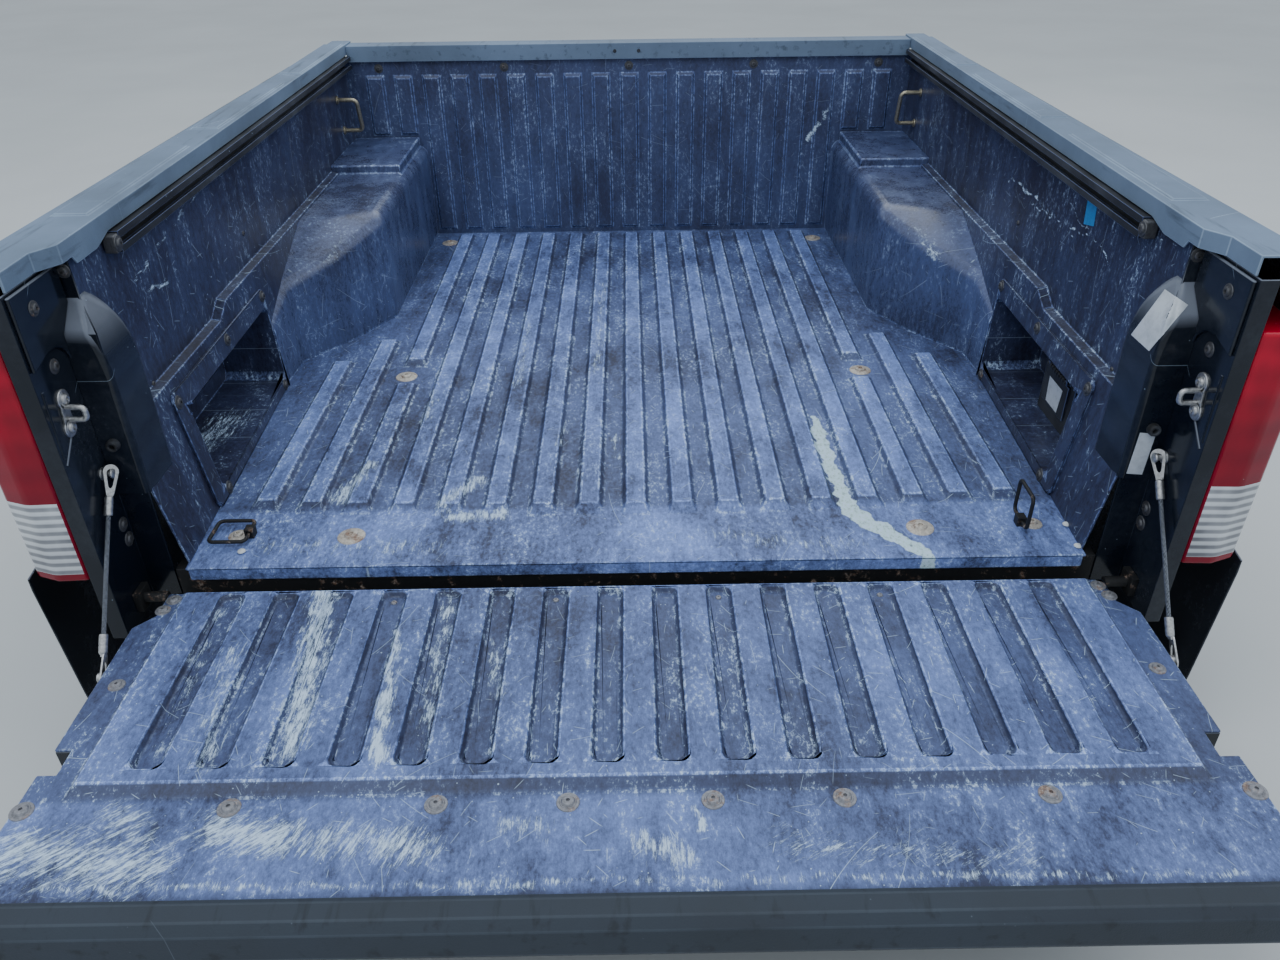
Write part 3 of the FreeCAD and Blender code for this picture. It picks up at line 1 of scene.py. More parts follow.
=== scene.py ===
"""Load bed of a midsize pickup truck with its tailgate lowered: the finish of every piece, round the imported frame.

The bed's frame is in metres: X to the right, Y towards the cab, Z up, with the origin between the middle
pair of frame studs. Places are given in millimetres from the rear edge of the floor, as on a drawing,
and deck() turns them into that frame.
"""

import math

import bmesh
import bpy
from bpy.props import FloatProperty, FloatVectorProperty, IntProperty, PointerProperty
from mathutils import Matrix, Vector
from mathutils.bvhtree import BVHTree


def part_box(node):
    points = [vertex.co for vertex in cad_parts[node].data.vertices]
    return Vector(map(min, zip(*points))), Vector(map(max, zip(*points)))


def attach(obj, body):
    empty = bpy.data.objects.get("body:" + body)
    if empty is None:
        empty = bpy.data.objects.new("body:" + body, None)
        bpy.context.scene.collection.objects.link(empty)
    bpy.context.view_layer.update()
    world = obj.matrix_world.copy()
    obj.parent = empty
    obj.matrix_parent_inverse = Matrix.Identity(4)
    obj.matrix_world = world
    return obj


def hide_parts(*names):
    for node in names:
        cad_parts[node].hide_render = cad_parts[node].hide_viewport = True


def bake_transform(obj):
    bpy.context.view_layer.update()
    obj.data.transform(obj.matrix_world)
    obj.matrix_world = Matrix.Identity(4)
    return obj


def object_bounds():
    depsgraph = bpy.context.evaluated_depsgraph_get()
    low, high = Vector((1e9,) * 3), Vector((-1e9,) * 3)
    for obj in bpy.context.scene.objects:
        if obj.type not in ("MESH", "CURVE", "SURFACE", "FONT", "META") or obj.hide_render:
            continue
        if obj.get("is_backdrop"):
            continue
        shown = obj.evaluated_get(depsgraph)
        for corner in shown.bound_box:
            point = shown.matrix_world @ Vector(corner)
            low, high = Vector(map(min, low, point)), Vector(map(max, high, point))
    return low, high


bl_info = {
    "name": "Pickup Load Bed",
    "version": (1, 0, 0),
    "blender": (4, 5, 0),
    "location": "3D View > Sidebar > Load Bed",
    "description": "Finishes a pickup truck's load bed and tailgate round their packed frame",
    "category": "Object",
}

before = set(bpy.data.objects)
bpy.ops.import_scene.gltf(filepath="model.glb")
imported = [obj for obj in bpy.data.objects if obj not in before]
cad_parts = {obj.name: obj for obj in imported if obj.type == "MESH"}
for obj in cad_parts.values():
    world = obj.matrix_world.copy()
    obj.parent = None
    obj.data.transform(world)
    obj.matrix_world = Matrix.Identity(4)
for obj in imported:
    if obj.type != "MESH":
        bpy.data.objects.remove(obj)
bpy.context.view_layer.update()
MM = 0.001
FLOOR_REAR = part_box("bed_floor")[0].y
FLOOR_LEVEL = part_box("floor_bolts")[0].z


def deck(x, y, z):
    """A point in millimetres from the rear edge of the floor, in the bed's frame."""
    return Vector((x * MM, y * MM + FLOOR_REAR, z * MM + FLOOR_LEVEL))


# Sizes and colours that a user would change.


def colour(name, description, default):
    return FloatVectorProperty(
        name=name, description=description, default=default, subtype="COLOR", size=3, min=0, max=1
    )


def length(name, description, default):
    return FloatProperty(name=name, description=description, default=default, unit="LENGTH", min=0)


class LoadBedColours(bpy.types.PropertyGroup):
    """Colours of the bed's finishes."""

    liner: colour("Liner", "Moulded liner where it is clean", (0.024, 0.024, 0.045))
    # The chalk colour is partly chalky wear and partly a painted blue sky sheen.
    chalk_and_sheen: colour("Chalk", "Liner where it is worn to a chalky haze", (0.280, 0.400, 0.880))
    scuff: colour("Scuff", "White scuffs and scratches", (0.63, 0.79, 0.98))
    # The cap colour is partly faded plastic and partly a painted sky sheen.
    cap: colour("Cap", "Faded caps of the rails", (0.110, 0.150, 0.215))
    paint: colour("Paint", "Gloss paint of the outer panels and posts", (0.005, 0.008, 0.015))
    # The dust colour on the posts' upward faces also stands for a painted sky sheen.
    dust: colour("Dust", "Dry road dust", (0.18, 0.20, 0.25))
    lens: colour("Lens", "Red part of the tail lamps", (0.62, 0.002, 0.030))
    zinc: colour("Zinc", "Zinc plating", (0.60, 0.60, 0.60))
    brass: colour("Yellow zinc", "Yellow plating of the tie hooks", (0.56, 0.51, 0.38))
    rust: colour("Rust", "Rust on bolts and washers", (0.22, 0.110, 0.065))
    washer: colour("Washer", "Washers under their rust", (0.66, 0.60, 0.53))
    spill: colour("Spill", "Dried paint spilt on the floor", (0.56, 0.76, 0.78))
    tape: colour("Tape", "Strip of tape on the right wall", (0.030, 0.260, 0.620))
    label: colour("Label", "Blank labels", (0.66, 0.70, 0.76))


class LoadBedSizes(bpy.types.PropertyGroup):
    """Sizes of the bed's fine shapes."""

    mould_round: length("Mould rounding", "Rounding of the moulded ribs", 2.6 * MM)
    edge_round: length("Edge rounding", "Rounding of thin edges", 1.2 * MM)
    steel_round: length("Steel rounding", "Rounding of folded steel", 0.8 * MM)
    bolt_sides: IntProperty(name="Bolt sides", description="Sides of a turned bolt", default=24, min=6)


def colours():
    return bpy.context.scene.load_bed_colours


def sizes():
    return bpy.context.scene.load_bed_sizes


# Materials.


class Surface:
    """A material being made, with patterns measured in the bed's own frame."""

    def __init__(self, name):
        self.material = bpy.data.materials.new(name)
        self.material.use_nodes = True
        self.tree = self.material.node_tree
        self.tree.nodes.clear()
        self.shader = self.add("BsdfPrincipled")
        output = self.add("OutputMaterial")
        self.tree.links.new(self.shader.outputs[0], output.inputs[0])
        self.place = self.add("TexCoord").outputs["Object"]

    def add(self, kind, props=None, **inputs):
        """A node, with its properties and its inputs set or linked by name."""
        node = self.tree.nodes.new("ShaderNode" + kind)
        for key, value in (props or {}).items():
            setattr(node, key, value)
        for key, value in inputs.items():
            self.feed(node.inputs[key.replace("_", " ")], value)
        return node

    def feed(self, socket, value):
        if isinstance(value, bpy.types.NodeSocket):
            self.tree.links.new(value, socket)
        elif socket.type == "RGBA" and not isinstance(value, float):
            socket.default_value = (*value[:3], 1)
        else:
            socket.default_value = value

    def calc(self, operation, first, second=0.0, third=None):
        node = self.add("Math", {"operation": operation})
        self.feed(node.inputs[0], first)
        self.feed(node.inputs[1], second)
        if third is not None:
            self.feed(node.inputs[2], third)
        return node.outputs[0]

    def facing(self, axis):
        """How far a face looks along an axis of the bed, from -1 to 1."""
        return self.add("SeparateXYZ", Vector=self.add("TexCoord").outputs["Normal"]).outputs[axis]

    def band(self, value, low, high, start=0.0, end=1.0):
        """The value rescaled from low..high to start..end, and held there."""
        node = self.add("MapRange", {"clamp": True}, Value=value)
        for key, number in (("From Min", low), ("From Max", high), ("To Min", start), ("To Max", end)):
            node.inputs[key].default_value = number
        return node.outputs[0]

    def mix(self, share, first, second):
        node = self.add("Mix", {"data_type": "RGBA"})
        self.feed(node.inputs[0], share)
        self.feed(node.inputs[6], first)
        self.feed(node.inputs[7], second)
        return node.outputs[2]

    def stretched(self, stretch, turn=0.0):
        """Place, turned about the vertical in degrees and scaled along each axis."""
        turned = self.add("Mapping", Vector=self.place, Rotation=(0, 0, math.radians(turn)))
        return self.add("Mapping", Vector=turned.outputs[0], Scale=stretch).outputs[0]

    def noise(self, scale, stretch=(1, 1, 1), turn=0.0, detail=4.0, rough=0.55, warp=0.0):
        node = self.add(
            "TexNoise", Vector=self.stretched(stretch, turn), Scale=float(scale), Detail=detail,
            Roughness=rough, Distortion=warp,
        )
        return node.outputs[0]

    def strokes(self, plane, cells, length, width, share):
        """Short straight scratches, one at most in each cell of a plane named by its two axes."""
        axes = self.add("SeparateXYZ", Vector=self.place).outputs
        flat = self.add("CombineXYZ", X=axes[plane[0]], Y=axes[plane[1]]).outputs[0]
        cell = self.add("TexVoronoi", {"voronoi_dimensions": "2D"}, Vector=flat, Scale=float(cells)).outputs
        pick = self.add("SeparateColor", Color=cell["Color"]).outputs
        gap = self.add("VectorMath", {"operation": "SUBTRACT"})
        self.feed(gap.inputs[0], flat)
        self.feed(gap.inputs[1], cell["Position"])
        angle = self.calc("MULTIPLY", pick[0], math.tau)
        turned = self.add("VectorRotate", {"rotation_type": "Z_AXIS"}, Vector=gap.outputs[0], Angle=angle)
        run = self.add("SeparateXYZ", Vector=turned.outputs[0]).outputs
        bow = self.calc("MULTIPLY_ADD", self.calc("MULTIPLY", run["X"], run["X"]), 1.5, run["Y"])
        line = self.band(self.calc("ABSOLUTE", bow), width * MM, width * 0.3 * MM)
        reach = self.calc("MULTIPLY", pick[2], length * MM)
        ends = self.band(self.calc("SUBTRACT", reach, self.calc("ABSOLUTE", run["X"])), 0, 4 * MM)
        return self.calc("MULTIPLY", self.calc("MULTIPLY", line, ends), self.band(pick[1], share, share - 0.01))

    def warped(self, fineness, reach):
        """Place, pushed about by noise so that straight masks get ragged edges."""
        wander = self.add("TexNoise", Vector=self.place, Scale=float(fineness), Detail=4.0).outputs["Color"]
        centred = self.add("VectorMath", {"operation": "SUBTRACT"})
        self.feed(centred.inputs[0], wander)
        centred.inputs[1].default_value = (0.5, 0.5, 0.5)
        shift = self.add("VectorMath", {"operation": "SCALE"}, Vector=centred.outputs[0], Scale=reach * MM)
        moved = self.add("VectorMath", {"operation": "ADD"})
        self.feed(moved.inputs[0], self.place)
        self.feed(moved.inputs[1], shift.outputs[0])
        return moved.outputs[0]

    def stroke(self, place, start, end, half, soft=2.0, far_half=None):
        """1 within a half width, in millimetres, of the line between two points, fading over a margin."""
        a, b = deck(*start), deck(*end)
        run = b - a
        toward = self.add("VectorMath", {"operation": "SUBTRACT"})
        self.feed(toward.inputs[0], place)
        toward.inputs[1].default_value = a
        along = self.add("VectorMath", {"operation": "DOT_PRODUCT"})
        self.feed(along.inputs[0], toward.outputs[0])
        along.inputs[1].default_value = run / run.length_squared
        share = self.band(along.outputs["Value"], 0, 1)
        foot = self.add("VectorMath", {"operation": "SCALE"}, Vector=tuple(run), Scale=share)
        gap = self.add("VectorMath", {"operation": "DISTANCE"})
        self.feed(gap.inputs[0], toward.outputs[0])
        self.feed(gap.inputs[1], foot.outputs[0])
        reach = self.band(share, 0, 1, half * MM, (far_half or half) * MM)
        return self.band(self.calc("SUBTRACT", reach, gap.outputs["Value"]), -soft * MM, soft * MM)

    def flecks(self, scale, size, share):
        """Small round specks, on a share of the cells."""
        cells = self.add("TexVoronoi", Vector=self.place, Scale=float(scale))
        dot = self.band(cells.outputs["Distance"], size, size * 0.6)
        pick = self.add("SeparateColor", Color=cells.outputs["Color"]).outputs[0]
        return self.calc("MULTIPLY", dot, self.band(pick, share, share - 0.01))

    def highest(self, *values):
        top = values[0]
        for value in values[1:]:
            top = self.calc("MAXIMUM", top, value)
        return top

    def edges(self):
        """1 on the rounded edges that round_edges() marked."""
        return self.add("Attribute", {"attribute_name": "worn_edge"}).outputs["Fac"]

    def bump(self, height, depth, strength=1.0, under=None):
        node = self.add("Bump", Height=height, Distance=depth, Strength=strength)
        if under is not None:
            self.feed(node.inputs["Normal"], under)
        return node.outputs[0]

    def finish(self, **inputs):
        for key, value in inputs.items():
            self.feed(self.shader.inputs[key.replace("_", " ")], value)
        return self.material


def raised_mask(surface, level, fade):
    """1 above a level in millimetres from the floor, softly 0 below it."""
    height = surface.add("SeparateXYZ", Vector=surface.place).outputs["Z"]
    low = level * MM + FLOOR_LEVEL
    return surface.band(height, low - fade * MM, low + fade * MM)


# The dried paint's run across the floor to its rear lip: across, along and half width.
SPILL = [(336, 430, 5), (331, 380, 12), (332, 289, 12), (336, 209, 13), (341, 128, 14), (366, 87, 17), (401, 44, 13),
         (428, 16, 12), (440, -14, 12)]
# Scuffs seen in the photograph: both ends of each, half width and strength.
FLOOR_SCUFFS = [
    ((-485, 180, 4), (-455, 270, 4), 16, 0.8), ((-312, 150, 4), (-262, 232, 4), 14, 0.8),
    ((-292, 124, 2), (-212, 130, 2), 13, 0.9), ((-26, 300, 8), (-34, 372, 8), 7, 0.9),
    ((-396, 424, 8), (-386, 500, 8), 12, 0.6), ((-136, 340, 8), (-118, 430, 8), 8, 0.6),
    ((-228, 560, 8), (-232, 860, 8), 9, 0.5), ((-76, 620, 8), (-70, 1100, 8), 8, 0.5),
    ((-560, 60, 0), (-300, 40, 0), 20, 0.35), ((120, 70, 0), (330, 30, 0), 18, 0.35),
]
GATE_SCUFFS = [
    ((-457, -34, -22), (-424, -330, -22), 16, 0.9), ((-336, -120, -22), (-312, -352, -22), 10, 0.9),
    ((-274, -50, -22), (-266, -326, -22), 9, 0.8), ((-548, -160, -22), (-520, -350, -22), 16, 0.5),
    ((-600, -60, -22), (-585, -330, -22), 10, 0.45), ((-204, -130, -22), (-178, -246, -22), 7, 0.7),
    ((-690, -470, -28), (-540, -492, -28), 32, 0.75, 50), ((-600, -420, -28), (-560, -450, -28), 20, 0.55, 50),
    ((-476, -440, -28), (-412, -456, -28), 22, 0.85, 50), ((-392, -452, -28), (-240, -470, -28), 22, 0.65, 20),
    ((-150, -440, -28), (-110, -450, -28), 12, 0.6), ((6, -470, -28), (44, -490, -28), 16, 0.75),
    ((60, -425, -28), (70, -456, -28), 4, 1.0), ((150, -470, -28), (420, -500, -28), 18, 0.35, 60),
    ((-640, -516, -28), (640, -518, -28), 5, 0.5),
]
FRONT_SCUFFS = [((516, 1510, 322), (468, 1510, 240), 5, 1.0), ((-560, 1508, 180), (-420, 1508, 140), 12, 0.25)]
WALL_SCUFFS = [
    ((718, 705, 358), (718, 560, 366), 2.5, 1.0), ((718, 560, 366), (718, 380, 352), 1.4, 0.8),
    ((718, 640, 345), (718, 330, 368), 1.6, 0.9), ((718, 470, 400), (718, 250, 362), 1.4, 0.7),
    ((718, 256, 430), (718, 91, 442), 1.6, 0.8), ((718, 300, 330), (718, 120, 345), 1.0, 0.6),
    ((-718, 236, 346), (-718, 290, 334), 5, 0.8), ((-718, 470, 420), (-718, 180, 372), 3, 0.5),
    ((604, 880, 205), (622, 770, 178), 9, 0.9), ((590, 960, 232), (600, 880, 210), 6, 0.6),
    ((-596, 900, 214), (-632, 740, 176), 9, 0.35), ((-800, 240, 24), (-740, 420, 24), 34, 0.6),
    ((800, 240, 24), (740, 300, 24), 20, 0.3),
]


def spill_mask(surface):
    """The dried paint, as ragged bands along its route, the same on rib tops and between them."""
    place = surface.warped(34, 34)
    level = surface.add("VectorMath", {"operation": "MULTIPLY"})
    surface.feed(level.inputs[0], place)
    level.inputs[1].default_value = (1, 1, 0)
    ground = -FLOOR_LEVEL / MM
    parts = []
    for (x, y, half), (far_x, far_y, far_half) in zip(SPILL, SPILL[1:]):
        parts.append(surface.stroke(level.outputs[0], (x, y, ground), (far_x, far_y, ground), half, 0.8, far_half))
    return surface.highest(*parts)


def scuff_mask(surface, scuffs):
    """The scuffs of a list, made of fine streaks that lie fore and aft or turned by a scuff's last value."""
    place = surface.warped(30, 30)
    groups = {}
    for start, end, half, strength, *turn in scuffs:
        mask = surface.stroke(place, start, end, half, half * 0.9)
        groups.setdefault(turn[0] if turn else 0, []).append(surface.calc("MULTIPLY", mask, strength))
    masks = []
    for turn, parts in groups.items():
        streaks = surface.noise(210, (1, 0.16, 1), turn, detail=7, rough=0.85)
        core = surface.highest(*parts)
        shown = surface.band(surface.calc("MULTIPLY_ADD", core, 0.22, streaks), 0.60, 0.70, 0, 0.95)
        masks.append(surface.calc("MULTIPLY", shown, surface.band(core, 0, 0.3)))
    return surface.highest(*masks)


def liner_material(
    name, plane, haze, spread, levels=None, polish=0.42, scuffs=(), spilt=False, marked=1.0, shine=0.3, plain=(0, 0),
):
    """Moulded composite liner: dark and finely grained, hazed and scratched where loads slide on it, its blue haze
    partly wear and partly a painted sky sheen.

    Levels are the heights of the valleys and of the rib tops; plain is the strip that has no ribs.
    """
    surface, hue = Surface(name), colours()
    along = (1, 1, 0.35) if plane == "XZ" else (1, 0.35, 1) if plane == "XY" else (1, 1, 0.25)
    clouds = surface.noise(3.2, detail=3, rough=0.6)
    drift = surface.noise(19, along, detail=8, rough=0.75)
    fine = surface.noise(170, tuple(part ** 0.5 for part in along), detail=6, rough=0.8)
    blend = surface.calc("MULTIPLY_ADD", drift, 0.40, surface.calc("MULTIPLY_ADD", fine, 0.32, surface.calc(
        "MULTIPLY", clouds, 0.28)))
    amount = surface.band(surface.band(blend, 0.415, 0.585, haze - spread, haze + spread), 0, 1)
    rim = surface.edges()
    crumbs = surface.calc("MULTIPLY", surface.band(fine, 0.50, 0.56), surface.band(drift, 0.47, 0.56, 0.05, 0.9))
    if levels:
        low, high = levels
        # Rib tops take the full haze, valley floors about half of it and rib sides about a quarter, so the painted
        # sheen is brightest on the rib tops.
        top = raised_mask(surface, high - 1, 0.8)
        ground = surface.band(raised_mask(surface, low + 0.8, 0.6), 0, 1, 0.52, 0.28)
        span = surface.add("SeparateXYZ", Vector=surface.place).outputs["Y"]
        middle, half = deck(0, sum(plain) / 2, 0).y, (plain[1] - plain[0]) / 2 * MM
        apart = surface.calc("ABSOLUTE", surface.calc("SUBTRACT", span, middle))
        ground = surface.calc("MAXIMUM", ground, surface.band(apart, half, half - 20 * MM))
        amount = surface.calc("MULTIPLY", amount, surface.calc("MAXIMUM", top, ground))
        amount = surface.calc("MULTIPLY_ADD", surface.calc("MULTIPLY", rim, top), surface.band(fine, 0.4, 0.6, 0.05, 0.45), amount)
        crumbs = surface.calc("MULTIPLY", crumbs, surface.band(surface.calc("MULTIPLY", rim, top), 0, 1, 0.7, 1))
    else:
        amount = surface.calc("MULTIPLY_ADD", rim, surface.band(fine, 0.4, 0.6, 0.02, 0.30), amount)
    amount = surface.calc("MINIMUM", amount, 1.0)
    lines = surface.highest(
        surface.strokes(plane, 8, 70, 0.50, 0.35),
        surface.strokes(plane, 21, 26, 0.45, 0.45),
        surface.strokes(plane, 47, 12, 0.50, 0.45),
    )
    specks = surface.highest(surface.flecks(150, 0.14, 0.12), surface.flecks(60, 0.08, 0.12))
    powder = surface.calc("MULTIPLY", surface.band(fine, 0.54, 0.63), surface.band(drift, 0.51, 0.61, 0, 0.85))
    marks = surface.calc("MULTIPLY", lines, surface.band(clouds, 0.3, 0.7, 0.15, 0.85))
    specks = surface.calc("MULTIPLY", specks, surface.band(clouds, 0.3, 0.65, 0.35, 0.9))
    marks = surface.highest(marks, specks, powder, surface.calc("MULTIPLY", crumbs, rim))
    marks = surface.calc("MULTIPLY", marks, marked)
    if scuffs:
        rubbed = scuff_mask(surface, scuffs)
        if plane == "XZ":
            rubbed = surface.calc("MULTIPLY", rubbed, surface.band(surface.facing("Y"), 0.4, 0))
        marks = surface.highest(marks, rubbed)
    # Painted sky sheen: the haze mixes in the chalk colour, which stands both for chalky wear and for the sky's sheen
    # on the liner.
    shade = surface.mix(amount, hue.liner, hue.chalk_and_sheen)
    shade = surface.mix(marks, shade, hue.scuff)
    gloss = surface.band(surface.highest(amount, marks), 0, 0.8, polish, 0.66)
    bumps = surface.bump(surface.noise(620, detail=2, rough=0.6), 0.00025, 0.5)
    bumps = surface.bump(marks, 0.00015, 0.4, bumps)
    if spilt:
        spill = spill_mask(surface)
        dried = surface.mix(surface.band(fine, 0.42, 0.60), hue.spill, hue.scuff)
        shade = surface.mix(surface.calc("MULTIPLY", spill, surface.band(fine, 0.34, 0.46, 0.3, 1)), shade, dried)
        bumps = surface.bump(spill, 0.0006, 0.8, bumps)
    return surface.finish(Base_Color=shade, Roughness=gloss, Normal=bumps, Specular_IOR_Level=shine)


def cap_material(name, fade_and_sheen_share=1.0, marked=0.8):
    """Faded cap plastic with a fine knurled texture; its grey is partly fading and partly a painted sky sheen."""
    surface, hue = Surface(name), colours()
    clouds = surface.noise(4, detail=6, rough=0.62)
    streaks = surface.noise(60, (1, 0.12, 1), detail=4)
    # The share scales the cap colour, with its fading and its painted sky sheen.
    faded_and_sheen = tuple(part * fade_and_sheen_share for part in hue.cap)
    pale = tuple(part * fade_and_sheen_share * 1.75 for part in hue.cap)
    dark = tuple(part * fade_and_sheen_share * 0.55 for part in hue.cap)
    shade = surface.mix(surface.band(clouds, 0.30, 0.70), faded_and_sheen, pale)
    shade = surface.mix(surface.band(streaks, 0.58, 0.72, 0, 0.7), shade, dark)
    marks = surface.highest(
        surface.strokes("XY", 9, 60, 0.5, 0.3), surface.flecks(90, 0.10, 0.12),
        surface.calc("MULTIPLY", surface.edges(), 0.35),
    )
    marks = surface.calc("MULTIPLY", marks, surface.band(clouds, 0.35, 0.65, marked * 0.2, marked))
    shade = surface.mix(marks, shade, hue.scuff)
    knurl = surface.add("TexVoronoi", Vector=surface.place, Scale=430.0).outputs["Distance"]
    bumps = surface.bump(knurl, 0.0003, 0.55)
    return surface.finish(Base_Color=shade, Roughness=surface.band(clouds, 0.3, 0.7, 0.62, 0.78), Normal=bumps)


def paint_material(name, dusty=0.35, settled_dust_and_sheen=0.9):
    """Black gloss paint under a film of dust, with dust colour on upward faces that is partly settled dust and partly a
    painted sky sheen.
    """
    surface, hue = Surface(name), colours()
    film = surface.noise(5, detail=7, rough=0.66)
    spots = surface.noise(120, detail=4, rough=0.7)
    dirt = surface.calc("MULTIPLY", surface.band(film, 0.42, 0.78), surface.band(spots, 0.35, 0.7, 0.3, 1))
    dirt = surface.calc("MULTIPLY", dirt, dusty)
    chips = surface.highest(surface.flecks(80, 0.07, 0.10), surface.strokes("YZ", 14, 30, 0.3, 0.15))
    chips = surface.calc("MULTIPLY", chips, 0.4)
    # Upward faces take the dust colour: settled dust, and on the posts, whose share is raised, also a painted sky
    # sheen.
    upward_dust_and_sheen = surface.band(surface.facing("Z"), 0.1, 0.55)
    dirt = surface.calc("MAXIMUM", dirt, surface.calc("MULTIPLY", upward_dust_and_sheen, surface.band(film, 0.3, 0.7, settled_dust_and_sheen * 0.6, settled_dust_and_sheen)))
    shade = surface.mix(dirt, hue.paint, hue.dust)
    shade = surface.mix(chips, shade, hue.scuff)
    peel = surface.bump(surface.noise(34, detail=2), 0.0004, 0.12)
    return surface.finish(
        Base_Color=shade, Roughness=surface.band(dirt, 0, 0.4, 0.16, 0.6), Normal=peel,
        Specular_IOR_Level=0.25, Coat_Weight=0.2, Coat_Roughness=0.08,
    )


def plastic_material(name, tone=(0.016, 0.017, 0.021), polish=0.45):
    """Plain black plastic with dust in its grain."""
    surface, hue = Surface(name), colours()
    film = surface.noise(7, detail=6, rough=0.65)
    grain = surface.noise(700, detail=2)
    dirt = surface.band(film, 0.45, 0.8, 0, 0.35)
    shade = surface.mix(dirt, tone, hue.dust)
    shade = surface.mix(surface.calc("MULTIPLY", surface.flecks(60, 0.09, 0.14), 0.6), shade, hue.scuff)
    # Rounded edges take a little of the chalk colour: edge wear, tinted with its painted sheen.
    shade = surface.mix(surface.calc("MULTIPLY", surface.edges(), 0.25), shade, hue.chalk_and_sheen)
    return surface.finish(
        Base_Color=shade, Roughness=surface.band(film, 0.3, 0.7, polish, polish + 0.2),
        Normal=surface.bump(grain, 0.0002, 0.5),
    )


def steel_material(name, tone, rusty=0.3, metal=1.0, polish=0.38):
    """Plated or bare steel with rust in patches."""
    surface, hue = Surface(name), colours()
    patches = surface.noise(45, detail=7, rough=0.7)
    fine = surface.noise(260, detail=4, rough=0.65)
    bound = 0.72 - 0.34 * rusty
    rust = surface.calc("MULTIPLY", surface.band(patches, bound, bound + 0.10), surface.band(fine, 0.25, 0.55, 0.5, 1))
    dull = tuple(part * 0.62 for part in tone)
    shade = surface.mix(surface.band(fine, 0.35, 0.65), dull, tone)
    shade = surface.mix(rust, shade, surface.mix(surface.band(fine, 0.44, 0.8), hue.rust, hue.washer))
    gloss = surface.calc("ADD", surface.band(fine, 0.3, 0.7, polish, polish + 0.16), surface.calc("MULTIPLY", rust, 0.4))
    return surface.finish(
        Base_Color=shade, Roughness=gloss, Normal=surface.bump(fine, 0.0003, 0.5),
        Metallic=surface.calc("MULTIPLY_ADD", rust, -metal, metal),
    )


def lens_material(name, tone, deep, ridges, sharp, dim=1.0):
    """Lamp lens: a glossy skin over a reflector with level ridges, drawn as bands in its colour; on the clear lens the
    pale bands and dark gaps are a painted chrome reflection and painted shade, and with dim below 1 a painted highlight
    lightens the lens towards its top.
    """
    surface = Surface(name)
    axes = surface.add("SeparateXYZ", Vector=surface.place).outputs
    wave = surface.calc("SINE", surface.calc("MULTIPLY", axes["Z"], math.tau / (ridges * MM)))
    cells = surface.noise(14, (1, 1, 0.5), detail=3)
    # Painted reflection and shade: the ridge bands and noise set how far the colour goes from the deep tone to the
    # bright one.
    depth = surface.calc("MULTIPLY_ADD", surface.band(wave, -sharp, sharp), 0.6, surface.band(cells, 0.35, 0.65, 0, 0.4))
    height = surface.calc("ADD", axes["Z"], surface.calc("MULTIPLY", cells, 0.08))
    # Painted highlight: below dim 1 the lens is darker low down and lighter towards its top.
    lit = surface.band(height, deck(0, 0, 250).z + 0.04, deck(0, 0, 370).z + 0.04, dim, 1)
    shade = surface.mix(surface.calc("MULTIPLY", depth, lit), deep, tone)
    dirt = surface.calc("MULTIPLY", surface.flecks(80, 0.08, 0.1), 0.35)
    shade = surface.mix(dirt, shade, (0.8, 0.8, 0.8))
    return surface.finish(
        Base_Color=shade, Roughness=surface.band(cells, 0.3, 0.7, 0.08, 0.14),
        Normal=surface.bump(wave, 0.0006, 0.25), Specular_IOR_Level=0.2, Coat_Weight=0.2, Coat_Roughness=0.03,
    )


def label_material(name, tone):
    """Printed film with a little dirt in it, and nothing printed on it."""
    surface = Surface(name)
    film = surface.noise(60, detail=5, rough=0.65)
    dull = tuple(part * 0.72 for part in tone)
    shade = surface.mix(surface.band(film, 0.45, 0.75), tone, dull)
    shade = surface.mix(surface.calc("MULTIPLY", surface.flecks(260, 0.1, 0.1), 0.6), shade, (0.04, 0.04, 0.05))
    return surface.finish(Base_Color=shade, Roughness=surface.band(film, 0.3, 0.7, 0.35, 0.5))


def rubber_material(name):
    surface, hue = Surface(name), colours()
    film = surface.noise(60, detail=5)
    shade = surface.mix(surface.band(film, 0.4, 0.8, 0, 0.4), (0.010, 0.010, 0.011), hue.dust)
    return surface.finish(
        Base_Color=shade, Roughness=surface.band(film, 0.3, 0.7, 0.6, 0.8),
        Normal=surface.bump(surface.noise(500), 0.0002, 0.4),
    )


MATERIALS = {}


